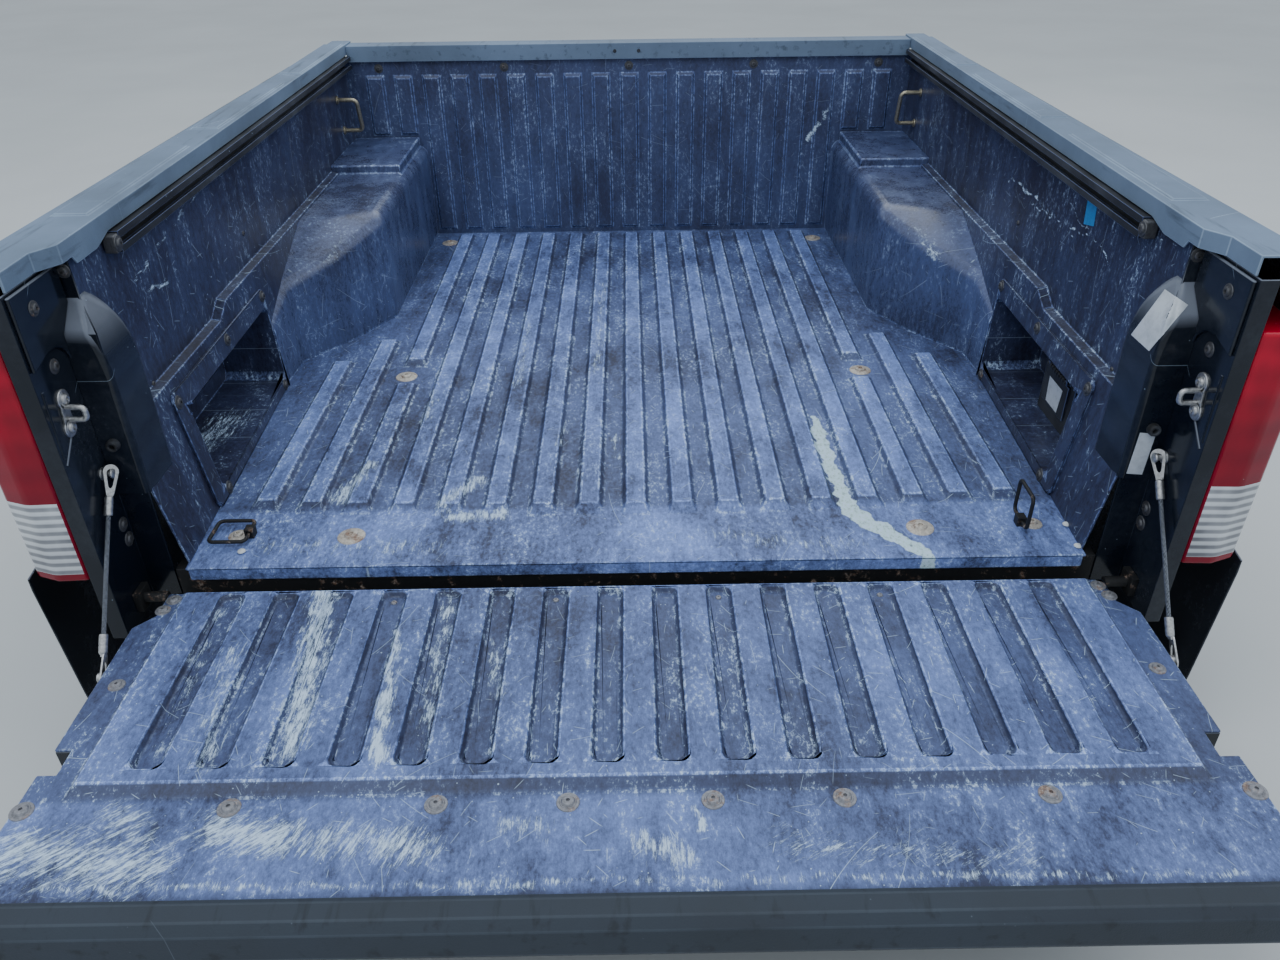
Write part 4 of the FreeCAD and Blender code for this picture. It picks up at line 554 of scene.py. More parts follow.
def material(key):
    """One of the bed's finishes, made when it is first asked for."""
    makers = {
        # Each liner's haze sets its share of the chalk colour with its painted sheen: most on the upward floor and
        # gate, more on the wheelhouses than on the walls.
        "floor": lambda: liner_material("floor_liner", "XY", 0.49, 0.42, (0, 8), 0.42, FLOOR_SCUFFS, True, plain=(-40, 160)),
        "wall": lambda: liner_material("wall_liner", "YZ", 0.06, 0.08, None, 0.28, WALL_SCUFFS, marked=0.85),
        "house": lambda: liner_material("wheel_liner", "YZ", 0.17, 0.13, None, 0.20, WALL_SCUFFS, marked=0.7, shine=0.7),
        "front": lambda: liner_material("front_liner", "XZ", 0.13, 0.08, None, 0.36, FRONT_SCUFFS, marked=0.45),
        "gate": lambda: liner_material("gate_liner", "XY", 0.38, 0.30, (-28, -20), 0.38, GATE_SCUFFS, plain=(-540, -388)),
        # Rail and header caps take the cap colour in full with its painted sheen; the gate cap takes about a sixth of
        # it.
        "rail": lambda: cap_material("rail_cap_plastic"),
        "header": lambda: cap_material("header_plastic", 1.0, 0.5),
        "gate_cap": lambda: cap_material("gate_cap_plastic", 0.17, 0.10),
        "paint": lambda: paint_material("body_gloss"),
        # The posts' raised share of upward dust is a painted sky sheen on their shoulders.
        "post": lambda: paint_material("post_gloss", 0.20, 1.2),
        "plastic": lambda: plastic_material("black_plastic"),
        "zinc": lambda: steel_material("zinc_plate", colours().zinc, 0.12),
        "hook": lambda: steel_material("yellow_zinc", colours().brass, 0.15, polish=0.42),
        "rust": lambda: steel_material("rusty_washer", colours().washer, 0.62, 0.35, 0.42),
        "screw": lambda: steel_material("dull_screw", (0.14, 0.14, 0.15), 0.35, 0.8, 0.5),
        "gate_screw": lambda: steel_material("worn_screw", (0.34, 0.34, 0.37), 0.5, 0.6, 0.45),
        "chassis": lambda: steel_material("chassis_steel", (0.020, 0.020, 0.022), 0.45, 0.3, 0.5),
        "rope": lambda: steel_material("wire_rope", (0.24, 0.26, 0.30), 0.10, 0.8, 0.38),
        "red": lambda: lens_material("red_lens", colours().lens, (0.16, 0.001, 0.012), 40, 3.0, 0.35),
        # The clear lens's pale bands and dark gaps are a painted chrome reflection and painted shade.
        "clear": lambda: lens_material("clear_lens", (0.80, 0.82, 0.85), (0.16, 0.16, 0.18), 13, 0.5),
        "guide": lambda: lens_material("lamp_guide", (0.06, 0.001, 0.003), (0.03, 0.001, 0.002), 30, 2.0),
        "tape": lambda: label_material("blue_tape", colours().tape),
        "label": lambda: label_material("blank_label", colours().label),
        "clip": lambda: label_material("white_clip", (0.72, 0.74, 0.76)),
        "rubber": lambda: rubber_material("stop_rubber"),
    }
    if key not in MATERIALS:
        MATERIALS[key] = makers[key]()
    return MATERIALS[key]


# Shapes.


def node_form(*nodes):
    """The shape of CAD nodes, merged, with each flat face whole."""
    form = bmesh.new()
    for node in nodes:
        form.from_mesh(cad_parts[node].data)
    bmesh.ops.remove_doubles(form, verts=form.verts, dist=0.00001)
    return form


def round_edges(form, width, segments=2, sharp=24, choose=None):
    """Round the edges that turn by more than an angle, and mark the new faces as worn."""
    mark = form.faces.layers.float.get("worn_edge") or form.faces.layers.float.new("worn_edge")
    edges = [
        edge for edge in form.edges
        if len(edge.link_faces) == 2
        and edge.calc_face_angle(0) > math.radians(sharp)
        and (choose is None or choose(edge))
    ]
    made = bmesh.ops.bevel(
        form, geom=edges, offset=width, offset_type="OFFSET", segments=segments, profile=0.5,
        affect="EDGES", clamp_overlap=False, material=-1,
    )
    for face in made["faces"]:
        face[mark] = 1
    return form


def joined(form, part):
    """Add a part's faces to a form."""
    passing = bpy.data.meshes.new("passing")
    part.to_mesh(passing)
    part.free()
    form.from_mesh(passing)
    bpy.data.meshes.remove(passing)
    return form


SKINS = {}


def landed(node, start, aim):
    """Where a ray from a point first meets a CAD node, and the way that its surface faces there."""
    if node not in SKINS:
        form = node_form(node)
        SKINS[node] = BVHTree.FromBMesh(form)
        form.free()
    spot, facing, _, _ = SKINS[node].ray_cast(start, Vector(aim).normalized())
    if spot is None:
        raise ValueError(f"no part of {node} lies that way")
    return spot, facing


def headed(form, outline, node, points, aim, sides=18):
    """Screw heads on a CAD node, where rays from points along a direction meet it."""
    for point in points:
        spot, facing = landed(node, deck(*point), aim)
        turned(form, outline, spot, facing, sides)


def pressed(form, outline, depth, rounding, across):
    """A flat plate: an outline of points, pushed along a vector, with rounded edges."""
    part = bmesh.new()
    dots = [part.verts.new(point) for point in outline]
    face = part.faces.new(dots)
    made = bmesh.ops.extrude_face_region(part, geom=[face])["geom"]
    moved = [item for item in made if isinstance(item, bmesh.types.BMVert)]
    bmesh.ops.translate(part, vec=Vector(across).normalized() * depth, verts=moved)
    bmesh.ops.recalc_face_normals(part, faces=part.faces)
    if rounding:
        round_edges(part, rounding, 3)
    return joined(form, part)


def turned(form, outline, spot, normal=(0, 0, 1), sides=None):
    """Spin an outline of (radius, height) in millimetres about an axis through a spot."""
    part = bmesh.new()
    dots = [part.verts.new((radius * MM, 0, height * MM)) for radius, height in outline]
    runs = [part.edges.new(pair) for pair in zip(dots, dots[1:])]
    bmesh.ops.spin(
        part, geom=dots + runs, cent=(0, 0, 0), axis=(0, 0, 1), dvec=(0, 0, 0), angle=math.tau,
        steps=sides or sizes().bolt_sides, use_merge=True, use_normal_flip=False, use_duplicate=False,
    )
    bmesh.ops.remove_doubles(part, verts=part.verts, dist=0.000001)
    bmesh.ops.recalc_face_normals(part, faces=part.faces)
    aim = Vector(normal).to_track_quat("Z", "Y").to_matrix().to_4x4()
    bmesh.ops.transform(part, matrix=Matrix.Translation(spot) @ aim, verts=part.verts)
    return joined(form, part)


def slab(form, low, high, rounding=0.0):
    """A block between two corners, with rounded edges."""
    part = bmesh.new()
    size = high - low
    made = bmesh.ops.create_cube(part, size=1)
    bmesh.ops.scale(part, vec=[abs(side) for side in size], verts=made["verts"])
    bmesh.ops.translate(part, vec=(low + high) / 2, verts=made["verts"])
    if rounding:
        round_edges(part, rounding, 3)
    return joined(form, part)


def bent_rod(form, corners, radius, bend, sides=12, closed=False):
    """A round rod in straight runs, spun round a centre at each corner."""
    part = bmesh.new()
    count = len(corners)
    start = (corners[0] + corners[-1]) / 2 if closed else corners[0]
    ahead = (corners[0] - start if closed else corners[1] - start).normalized()
    aim = ahead.to_track_quat("Z", "Y").to_matrix().to_4x4()
    made = bmesh.ops.create_circle(
        part, cap_ends=False, radius=radius, segments=sides, matrix=Matrix.Translation(start) @ aim
    )
    first = list({edge for dot in made["verts"] for edge in dot.link_edges})
    ring, here = first, start
    stops = list(corners) if closed else list(corners[1:-1])
    for number, corner in enumerate(stops):
        place = number if closed else number + 1
        back = (corners[place - 1] - corner).normalized()
        away = (corners[(place + 1) % count] - corner).normalized()
        half = back.angle(away) / 2
        foot = corner + back * (bend / math.tan(half))
        heart = corner + (back + away).normalized() * (bend / math.sin(half))
        ring = pulled(part, ring, foot - here)
        spun = bmesh.ops.spin(
            part, geom=ring + dots_of(ring), cent=heart, axis=back.cross(foot - heart).normalized(),
            dvec=(0, 0, 0), angle=math.pi - 2 * half, steps=5, use_merge=False, use_normal_flip=False,
            use_duplicate=False,
        )
        ring = [item for item in spun["geom_last"] if isinstance(item, bmesh.types.BMEdge)]
        here = corner + away * (bend / math.tan(half))
    ring = pulled(part, ring, (start if closed else corners[-1]) - here)
    if closed:
        bmesh.ops.remove_doubles(part, verts=part.verts, dist=0.00005)
    else:
        bmesh.ops.holes_fill(part, edges=first + ring, sides=sides)
    bmesh.ops.recalc_face_normals(part, faces=part.faces)
    return joined(form, part)


def upright(edge):
    """True for an edge that runs more up than along."""
    run = edge.verts[1].co - edge.verts[0].co
    return abs(run.z) > 0.6 * run.length


def skinned(rings):
    """A closed skin over rings of points, each ring bridged to the next."""
    part = bmesh.new()
    loops = []
    for ring in rings:
        dots = [part.verts.new(point) for point in ring]
        loops.append([part.edges.new(pair) for pair in zip(dots, dots[1:] + dots[:1])])
    for low, high in zip(loops, loops[1:]):
        bmesh.ops.bridge_loops(part, edges=low + high)
    bmesh.ops.holes_fill(part, edges=loops[0] + loops[-1], sides=0)
    bmesh.ops.recalc_face_normals(part, faces=part.faces)
    return part


def film(name, under, eye, corners, finish, body="bed", lift=0.6 * MM, cells=24):
    """A thin sheet stuck on pieces: its corners are sighted from an eye, and it follows the skin between them."""
    form = bmesh.new()
    for below in under:
        form.from_mesh(bpy.data.meshes[below])
    skin = BVHTree.FromBMesh(form)
    form.free()
    form = bmesh.new()
    bmesh.ops.create_grid(form, x_segments=cells, y_segments=cells, size=1)
    for dot in form.verts:
        across, along = (dot.co.x + 1) / 2, (dot.co.y + 1) / 2
        aim = corners[0].lerp(corners[1], across).lerp(corners[3].lerp(corners[2], across), along)
        spot, facing, _, _ = skin.ray_cast(eye, (aim - eye).normalized())
        if spot is None:
            raise ValueError(f"{name} has nothing under it")
        dot.co = spot + facing * lift
    bmesh.ops.recalc_face_normals(form, faces=form.faces)
    bmesh.ops.solidify(form, geom=form.faces[:], thickness=0.3 * MM)
    bmesh.ops.recalc_face_normals(form, faces=form.faces)
    return piece(name, form, finish, body)


def dots_of(edges):
    return list({dot for edge in edges for dot in edge.verts})


def pulled(form, ring, move):
    """Extrude a ring of edges by a vector and return the new ring."""
    made = bmesh.ops.extrude_edge_only(form, edges=ring)["geom"]
    dots = [item for item in made if isinstance(item, bmesh.types.BMVert)]
    bmesh.ops.translate(form, vec=move, verts=dots)
    fresh = set(dots)
    return [
        item for item in made if isinstance(item, bmesh.types.BMEdge) and set(item.verts) <= fresh
    ]


def piece(name, form, finish, body="bed", nodes=(), crease=32):
    """Make a form a finished piece: shaded, given its material, riding on its body."""
    mesh = bpy.data.meshes.new(name)
    form.to_mesh(mesh)
    form.free()
    mesh.shade_smooth()
    mesh.set_sharp_from_angle(angle=math.radians(crease))
    for key in finish if isinstance(finish, tuple) else (finish,):
        mesh.materials.append(material(key))
    thing = bpy.data.objects.new(name, mesh)
    bpy.context.scene.collection.objects.link(thing)
    thing.modifiers.new("face_normals", "WEIGHTED_NORMAL").keep_sharp = True
    if nodes:
        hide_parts(*nodes)
    if body:
        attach(thing, body)
    return thing


def softened(name, node, finish, width, body="bed", segments=2, sharp=24, crease=32):
    """A CAD node's shape with its edges rounded, in place of the node."""
    form = round_edges(node_form(node), width, segments, sharp)
    return piece(name, form, finish, body, (node,), crease)


SIDES = (("left", -1), ("right", 1))
DOMED_BOLT = [(0, 3.4), (3.6, 3.4), (4, 6.2), (6, 6.6), (9.4, 5.4), (10.6, 3.4), (10.8, 2.6), (15.5, 2.4), (20.6, 1.3),
              (21.6, 0.1)]
FLANGE_SCREW = [(0, 1.8), (1.9, 1.8), (2.1, 4.4), (3.4, 4.6), (5.8, 4.0), (6.9, 2.6), (7.2, 1.7), (10.6, 1.3), (11.2, 0)]
BAND_SCREW = [(0, 2.2), (2.2, 2.2), (2.4, 5.0), (4.0, 5.2), (6.8, 4.4), (8.0, 3.0), (8.4, 2.2), (9.6, 2.4), (10.4, 1.4),
              (13.2, 1.2), (13.8, 0)]
POST_BOLT = [(0, 2.0), (2.4, 2.0), (2.8, 4.4), (5.0, 4.2), (6.4, 3.0), (6.7, 1.5), (9.6, 1.1), (10.2, 0)]
STRIKER_BOLT = [(0, 5.6), (2.0, 5.6), (2.2, 7.2), (4.4, 7.8), (6.6, 6.6), (7.4, 4.6), (7.6, 3.6), (9.6, 3.4), (10, 2.8)]
LOBE = [(0, 3.0), (12.2, 3.0), (13.2, 2.0), (13.2, 0)]
CABLE_STUD = [(0, 16), (4.6, 16), (6.4, 15), (7, 13.4), (6.6, 12), (4, 11.4), (4, 2.6), (9, 2.2), (9.4, 0)]
BUFFER = [(0, 6), (3.2, 6), (3.6, 12.4), (5.0, 13.8), (7.2, 13.6), (8.6, 11), (9, 0)]
FERRULE = [(2.6, 0), (4.6, 1.5), (5.6, 4), (5.7, 12), (5.2, 13), (5.7, 14), (5.7, 26), (5.2, 28), (3.0, 28.6)]
PUSH_CLIP = [(0, 5.4), (2.4, 5.2), (5.4, 3.6), (6.2, 2.2), (5.8, 1.4), (2.4, 1.2), (2.4, 0)]
HOLE_RIM = [(0, 0.2), (2.6, 0.2), (3.0, 0.9), (4.2, 0.7), (4.5, 0)]
SMALL_SCREW = [(0, 1.2), (1.2, 1.2), (1.4, 2.2), (3.6, 1.9), (4.4, 0.8), (4.6, 0)]


# Operators, one for each group of pieces.


def level_across(edge):
    """True for an edge that runs straight across the bed."""
    run = edge.verts[1].co - edge.verts[0].co
    return abs(run.x) > 0.95 * run.length


class BedOperator:
    """What the bed's operators share."""

    bl_options = {"REGISTER", "UNDO"}

    def execute(self, context):
        self.build()
        return {"FINISHED"}


class BED_OT_floor(BedOperator, bpy.types.Operator):
    """Ribbed floor with its worn liner finish"""

    bl_idname = "load_bed.floor"
    bl_label = "Floor"

    def build(self):
        form = node_form("bed_floor")
        round_edges(form, sizes().mould_round, 3, 18)
        piece("floor_moulding", form, "floor", nodes=("bed_floor",), crease=40)
        clips = bmesh.new()
        headed(clips, PUSH_CLIP, "bed_floor", [(667, 76, 90), (663, 20, 90), (-597, 39, 90)], (0, 0, -1), 14)
        piece("push_clips", clips, "clip")


class BED_OT_front_wall(BedOperator, bpy.types.Operator):
    """Front wall with its ribs, screws and header"""

    bl_idname = "load_bed.front_wall"
    bl_label = "Front wall"

    def build(self):
        form = node_form("front_panel")
        round_edges(form, 1.8 * MM, 2, 18)
        piece("front_wall", form, "front", nodes=("front_panel",), crease=40)
        softened("front_header_cap", "front_header", "header", sizes().edge_round, segments=3)
        screws = bmesh.new()
        points = [(across, 1300, 428) for across in (-635, -317, 0, 317, 635)]
        headed(screws, FLANGE_SCREW, "front_panel", points, (0, 1, 0), 16)
        piece("front_wall_screws", screws, "screw")
        rims = bmesh.new()
        headed(rims, HOLE_RIM, "front_header", [(-35, 1300, 464), (25, 1300, 464)], (0, 1, 0), 14)
        piece("header_holes", rims, "plastic")


class BED_OT_side_walls(BedOperator, bpy.types.Operator):
    """Side walls, wheelhouses and storage bins"""

    bl_idname = "load_bed.side_walls"
    bl_label = "Side walls"

    def build(self):
        for side, sign in SIDES:
            softened(f"{side}_wall", f"{side}_inner_wall", "wall", 1.6 * MM, sharp=18)
            softened(f"{side}_wheel_cover", f"{side}_wheelhouse", "house", 4.0 * MM, segments=4, sharp=42,
                     crease=46)
            form = node_form(f"{side}_storage_bin")
            round_edges(form, 12 * MM, 5, 40, level_across)
            round_edges(form, 1.5 * MM, 3, 24)
            piece(f"{side}_bin", form, "wall", nodes=(f"{side}_storage_bin",))
            screws = bmesh.new()
            points = [(sign * 600, *spot) for spot in ((166, 190), (388, 192), (582, 192), (205, 11), (575, 11))]
            headed(screws, FLANGE_SCREW, f"{side}_storage_bin", points, (sign, 0, 0))
            points = [(sign * 600, 158, 226), (sign * 600, 620, 300)]
            headed(screws, SMALL_SCREW, f"{side}_inner_wall", points, (sign, 0, 0), 14)
            piece(f"{side}_wall_screws", screws, "screw")
        corners = [deck(716, *spot) for spot in ((367, 419), (333, 427), (326, 390), (361, 382))]
        film("tape_strip", ("right_wall",), deck(0, 350, 405), corners, "tape")


class BED_OT_outlet(BedOperator, bpy.types.Operator):
    """Outlet housing in the right bin, with its hinged cover"""

    bl_idname = "load_bed.outlet"
    bl_label = "Outlet"

    def build(self):
        softened("outlet_box", "outlet_housing", "plastic", 1.5 * MM, segments=3)
        softened("outlet_flap", "outlet_cover", "plastic", 1.0 * MM, body="outlet_cover")
        knuckles = bmesh.new()
        for number in range(9):
            along = 326 + 9.5 * number
            knuckle = [(0, 0), (4.6, 0), (5.4, 0.8), (5.4, 6.2), (4.6, 7), (0, 7)]
            turned(knuckles, knuckle, deck(738, along, 117), (0, 1, 0), 16)
        piece("outlet_knuckles", knuckles, "plastic")
        badge = [deck(742, 395, 98), deck(742, 335, 98), deck(742, 340, 52), deck(742, 390, 52)]
        film("outlet_label", ("outlet_flap",), deck(500, 365, 75), badge, "label", "outlet_cover")


class BED_OT_rails(BedOperator, bpy.types.Operator):
    """Rail caps and cleat rails"""

    bl_idname = "load_bed.rails"
    bl_label = "Rails"

    def build(self):
        for side, sign in SIDES:
            softened(f"{side}_rail_moulding", f"{side}_rail_cap", "rail", 1.3 * MM, segments=3)
            softened(f"{side}_cleat_channel", f"{side}_cleat_rail", "plastic", 0.5 * MM)
            ends = bmesh.new()
            low, high = sorted((sign * 698, sign * 716))
            slab(ends, deck(low, 138, 433), deck(high, 152.5, 458), 2.5 * MM)
            turned(ends, FLANGE_SCREW, deck(sign * 698, 145, 446), (-sign, 0, 0), 16)
            piece(f"{side}_cleat_end", ends, "screw")


class BED_OT_tie_downs(BedOperator, bpy.types.Operator):
    """Tie hooks at the front corners and tie rings in the floor"""

    bl_idname = "load_bed.tie_downs"
    bl_label = "Tie-downs"

    def build(self):
        for side, sign in SIDES:
            wall = 716
            hook = bent_rod(bmesh.new(), [
                deck(sign * (wall + 1), 1376, 380), deck(sign * (wall - 47), 1376, 380),
                deck(sign * (wall - 47), 1400, 303), deck(sign * (wall + 1), 1400, 303),
            ], 5 * MM, 11 * MM)
            for along, height in ((1376, 380), (1400, 303)):
                turned(hook, [(0, 4.5), (6, 4.2), (9.5, 2.6), (10, 0)], deck(sign * wall, along, height), (-sign, 0, 0), 18)
            piece(f"{side}_hook", hook, "hook", nodes=(f"{side}_tie_hook",))
            pivot, lift, middle, half, reach = sign * 596, 9, 82, 28, 56
            far = (pivot - reach, lift) if sign < 0 else (pivot, lift + reach)
            ring = bent_rod(bmesh.new(), [
                deck(pivot, middle - half, lift), deck(pivot, middle + half, lift),
                deck(far[0], middle + half, far[1]), deck(far[0], middle - half, far[1]),
            ], 3 * MM, 8 * MM, closed=True)
            piece(f"{side}_ring", ring, "chassis", f"{side}_tie_ring", (f"{side}_tie_ring",))
        softened("ring_clamps", "ring_clips", "chassis", sizes().steel_round)


class BED_OT_floor_bolts(BedOperator, bpy.types.Operator):
    """Rusty bolts with wide washers in the floor, and the studs below"""

    bl_idname = "load_bed.floor_bolts"
    bl_label = "Floor bolts"

    def build(self):
        heads = bmesh.new()
        for half, along, scale in ((489, 1425, 1), (457, 623, 1), (440, 76, 1), (616, 82, 0.72)):
            for _, sign in SIDES:
                outline = [(radius * scale, height) for radius, height in DOMED_BOLT]
                turned(heads, outline, deck(sign * half, along, 0))
        piece("bolt_heads", heads, "rust", nodes=("floor_bolts",))
        softened("studs", "frame_studs", "zinc", 0.6 * MM, sharp=60)


class BED_OT_posts(BedOperator, bpy.types.Operator):
    """Rear posts with their bolts, strikers, stops and hinge ears"""

    bl_idname = "load_bed.posts"
    bl_label = "Rear posts"

    def build(self):
        for side, sign in SIDES:
            node = f"{side}_rear_post"
            form = node_form(node)
            for dot in form.verts:
                if abs(dot.co.x) < 0.700 and dot.co.z > deck(0, 0, 401).z:
                    dot.co.x = sign * 0.714
            piece(f"{side}_post", round_edges(form, 1.0 * MM, 3), "post", nodes=(node,))
            piece(f"{side}_pillar", self.pillar(sign), "post", crease=60)
            self.plate(side, sign)
            self.bolts(side, sign)
            self.striker(side, sign)
            self.buffer(side, sign)
            if sign > 0:
                eye = deck(-1, -1163, 889)
                corners = [deck(*spot) for spot in ((678, 14, 411), (713, 14, 389), (681, 14, 325), (651, 14, 349))]
                film("shoulder_label", ("right_pillar", "right_post"), eye, corners, "label")
                corners = [deck(*spot) for spot in ((697, 10, 205), (720, 10, 203), (718, 10, 136), (695, 10, 138))]
                film("pillar_label", ("right_pillar",), deck(706, -400, 168), corners, "label")
        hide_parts("gate_strikers")
        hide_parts("gate_stops")
        softened("ear_plates", "hinge_ears", "chassis", 0.8 * MM, sharp=60)

    def pillar(self, sign):
        """The rounded pillar at the side wall's rear end, leaning back to the rail at its shoulder."""
        rings = []
        for height, inner, rear, middle, front in (
            (130, 686, 7, 95, 118), (300, 686, 7, 95, 118), (322, 686.6, 7, 94, 117), (340, 688.5, 7, 92, 114),
            (356, 691.5, 7, 89, 110), (370, 696, 7.5, 85, 105), (382, 701, 17, 79, 98), (392, 706, 27.5, 71, 88),
            (402, 711, 38.3, 62, 76), (410, 716.5, 42.3, 54, 64),
        ):
            plan = ((732.6, rear), (inner, rear), (inner, middle), (717.6, front), (732.6, front))
            rings.append([deck(sign * across, along, height) for across, along in plan])
        form = skinned(rings)
        return round_edges(form, 8 * MM, 5, 20, lambda edge: upright(edge) and all(
            abs(dot.co.x) < 0.716 for dot in edge.verts
        ))

    def plate(self, side, sign):
        """The raised part of the post's side, with its arched lower edge, and the creases below it."""
        form = bmesh.new()
        outline = [
            (-76, 456), (40, 456), (40, 405), (8, 373), (8, 338), (3, 351), (-5, 360), (-18, 367), (-36, 369), (-76, 358),
        ]
        points = [deck(sign * 733, along, height) for along, height in outline]
        pressed(form, points, 5 * MM, 2.4 * MM, (-sign, 0, 0))
        for start, end in (((-74, 226), (-46, 252)), ((-74, 236), (-70, 330))):
            bent_rod(form, [deck(sign * 734, *start), deck(sign * 734, *end)], 2.6 * MM, 1 * MM)
        piece(f"{side}_post_plate", form, "post")

    def bolts(self, side, sign):
        node = f"{side}_rear_post"
        heads = bmesh.new()
        headed(heads, POST_BOLT, node, [(sign * 650, -28, 346)], (sign, 0, 0), 22)
        headed(heads, POST_BOLT, node, [(sign * 724, -300, 446)], (0, 1, 0), 22)
        spot, facing = landed(node, deck(sign * 650, -35, 427), (sign, 0, 0))
        turned(heads, POST_BOLT, spot + facing * 5 * MM, facing, 22)
        headed(heads, FLANGE_SCREW, node, [(sign * 650, -4, 85), (sign * 650, -2, 58)], (sign, 0, 0))
        piece(f"{side}_post_bolts", heads, "screw")

    def striker(self, side, sign):
        """Zinc plate of two lobes with a bolt in each, and the loop that the latch grips."""
        form = bmesh.new()
        lobes = ((-37, 304), (-43, 266))
        for along, height in lobes:
            turned(form, LOBE, deck(sign * 733, along, height), (-sign, 0, 0), 28)
            turned(form, STRIKER_BOLT, deck(sign * 733, along, height), (-sign, 0, 0), 22)
        waist = [(-48, 302), (-27, 300), (-32, 286), (-32, 268), (-54, 268), (-50, 286)]
        pressed(form, [deck(sign * 733, *spot) for spot in waist], 3 * MM, 0.6 * MM, (-sign, 0, 0))
        legs = [deck(sign * 731, -40, 294), deck(sign * 707, -40, 294), deck(sign * 707, -40, 276), deck(sign * 731, -40, 276)]
        bent_rod(form, legs, 3.8 * MM, 6 * MM)
        return piece(f"{side}_striker", form, "zinc")

    def buffer(self, side, sign):
        form = bmesh.new()
        turned(form, BUFFER, deck(sign * 713, 11, 211), (0, -1, 0), 24)
        return piece(f"{side}_buffer", form, "rubber")


class BED_OT_tail_lamps(BedOperator, bpy.types.Operator):
    """Tail lamps: red lenses with a clear reversing part"""

    bl_idname = "load_bed.tail_lamps"
    bl_label = "Tail lamps"

    def build(self):
        low, high = deck(0, 0, 56).z, deck(0, 0, 172).z
        for side, sign in SIDES:
            form = node_form(f"{side}_tail_lamp")
            round_edges(form, 6 * MM, 5, 20)
            for level in (low, high):
                bmesh.ops.bisect_plane(
                    form, geom=form.verts[:] + form.edges[:] + form.faces[:], plane_co=(0, 0, level),
                    plane_no=(0, 0, 1),
                )
            for face in form.faces:
                middle = face.calc_center_median()
                clear = low < middle.z < high and middle.y < deck(0, 30, 0).y and face.normal.x * sign > -0.3
                face.material_index = 1 if clear else 0
            piece(f"{side}_lamp", form, ("red", "clear"), nodes=(f"{side}_tail_lamp",))


class BED_OT_outer_panels(BedOperator, bpy.types.Operator):
    """Outer side panels, arch liners, fuel door and its pocket"""

    bl_idname = "load_bed.outer_panels"
    bl_label = "Outer panels"

    def build(self):
        for side, _ in SIDES:
            softened(f"{side}_outer_panel", f"{side}_side_panel", "paint", 1.0 * MM, sharp=40)
            softened(f"{side}_wheel_liner", f"{side}_arch_liner", "plastic", 1.0 * MM, sharp=50)
        softened("filler_pocket", "fuel_pocket", "plastic", 1.0 * MM, sharp=50)
        softened("filler_door", "fuel_door", "paint", 0.8 * MM, body="fuel_door", sharp=50)


class BED_OT_underside(BedOperator, bpy.types.Operator):
    """Sills under the floor"""

    bl_idname = "load_bed.underside"
    bl_label = "Underside"

    def build(self):
        softened("rear_beam", "rear_sill", "chassis", 1.0 * MM)
        softened("floor_sills", "cross_sills", "chassis", 1.0 * MM)


class BED_OT_tailgate(BedOperator, bpy.types.Operator):
    """Tailgate: outer skin, moulded liner, top cap, handle, latches and screws"""

    bl_idname = "load_bed.tailgate"
    bl_label = "Tailgate"

    def build(self):
        gate = "tailgate"
        softened("gate_skin", "tailgate_outer", "paint", 1.2 * MM, gate)
        form = node_form("tailgate_liner")
        hinge, far = deck(0, -30, 0).y, deck(0, -366, 0).y
        round_edges(form, 9 * MM, 4, 18, lambda edge: upright(edge) and far < edge.verts[0].co.y < hinge and all(
            abs(dot.co.x) < 0.65 for dot in edge.verts
        ))
        round_edges(form, 2.2 * MM, 3, 18)
        piece("gate_liner", form, "gate", gate, ("tailgate_liner",), crease=40)
        softened("gate_top_cap", "tailgate_top_cap", "gate_cap", 1.6 * MM, gate, 3, 14)
        softened("gate_handle", "tailgate_handle", "plastic", 1.5 * MM, gate)
        softened("latches", "gate_latches", "zinc", 0.6 * MM, gate)
        softened("hinge_pins", "gate_pins", "chassis", 0.8 * MM, gate, sharp=60)
        softened("lower_cable_studs", "gate_cable_studs", "zinc", 0.8 * MM, gate, sharp=60)
        screws = bmesh.new()
        for half in (83, 234, 470, 706):
            for _, sign in SIDES:
                turned(screws, BAND_SCREW, deck(sign * half, -413, -28), sides=20)
        for half in (118, 353):
            for _, sign in SIDES:
                turned(screws, SMALL_SCREW, deck(sign * half, -52, -28), sides=14)
        corners = [(sign * half, along, 60) for half, along in ((677, -38), (684, -61), (685, -212)) for _, sign in SIDES]
        headed(screws, FLANGE_SCREW, "tailgate_liner", corners, (0, 0, -1), 16)
        piece("gate_screws", screws, "gate_screw", gate)


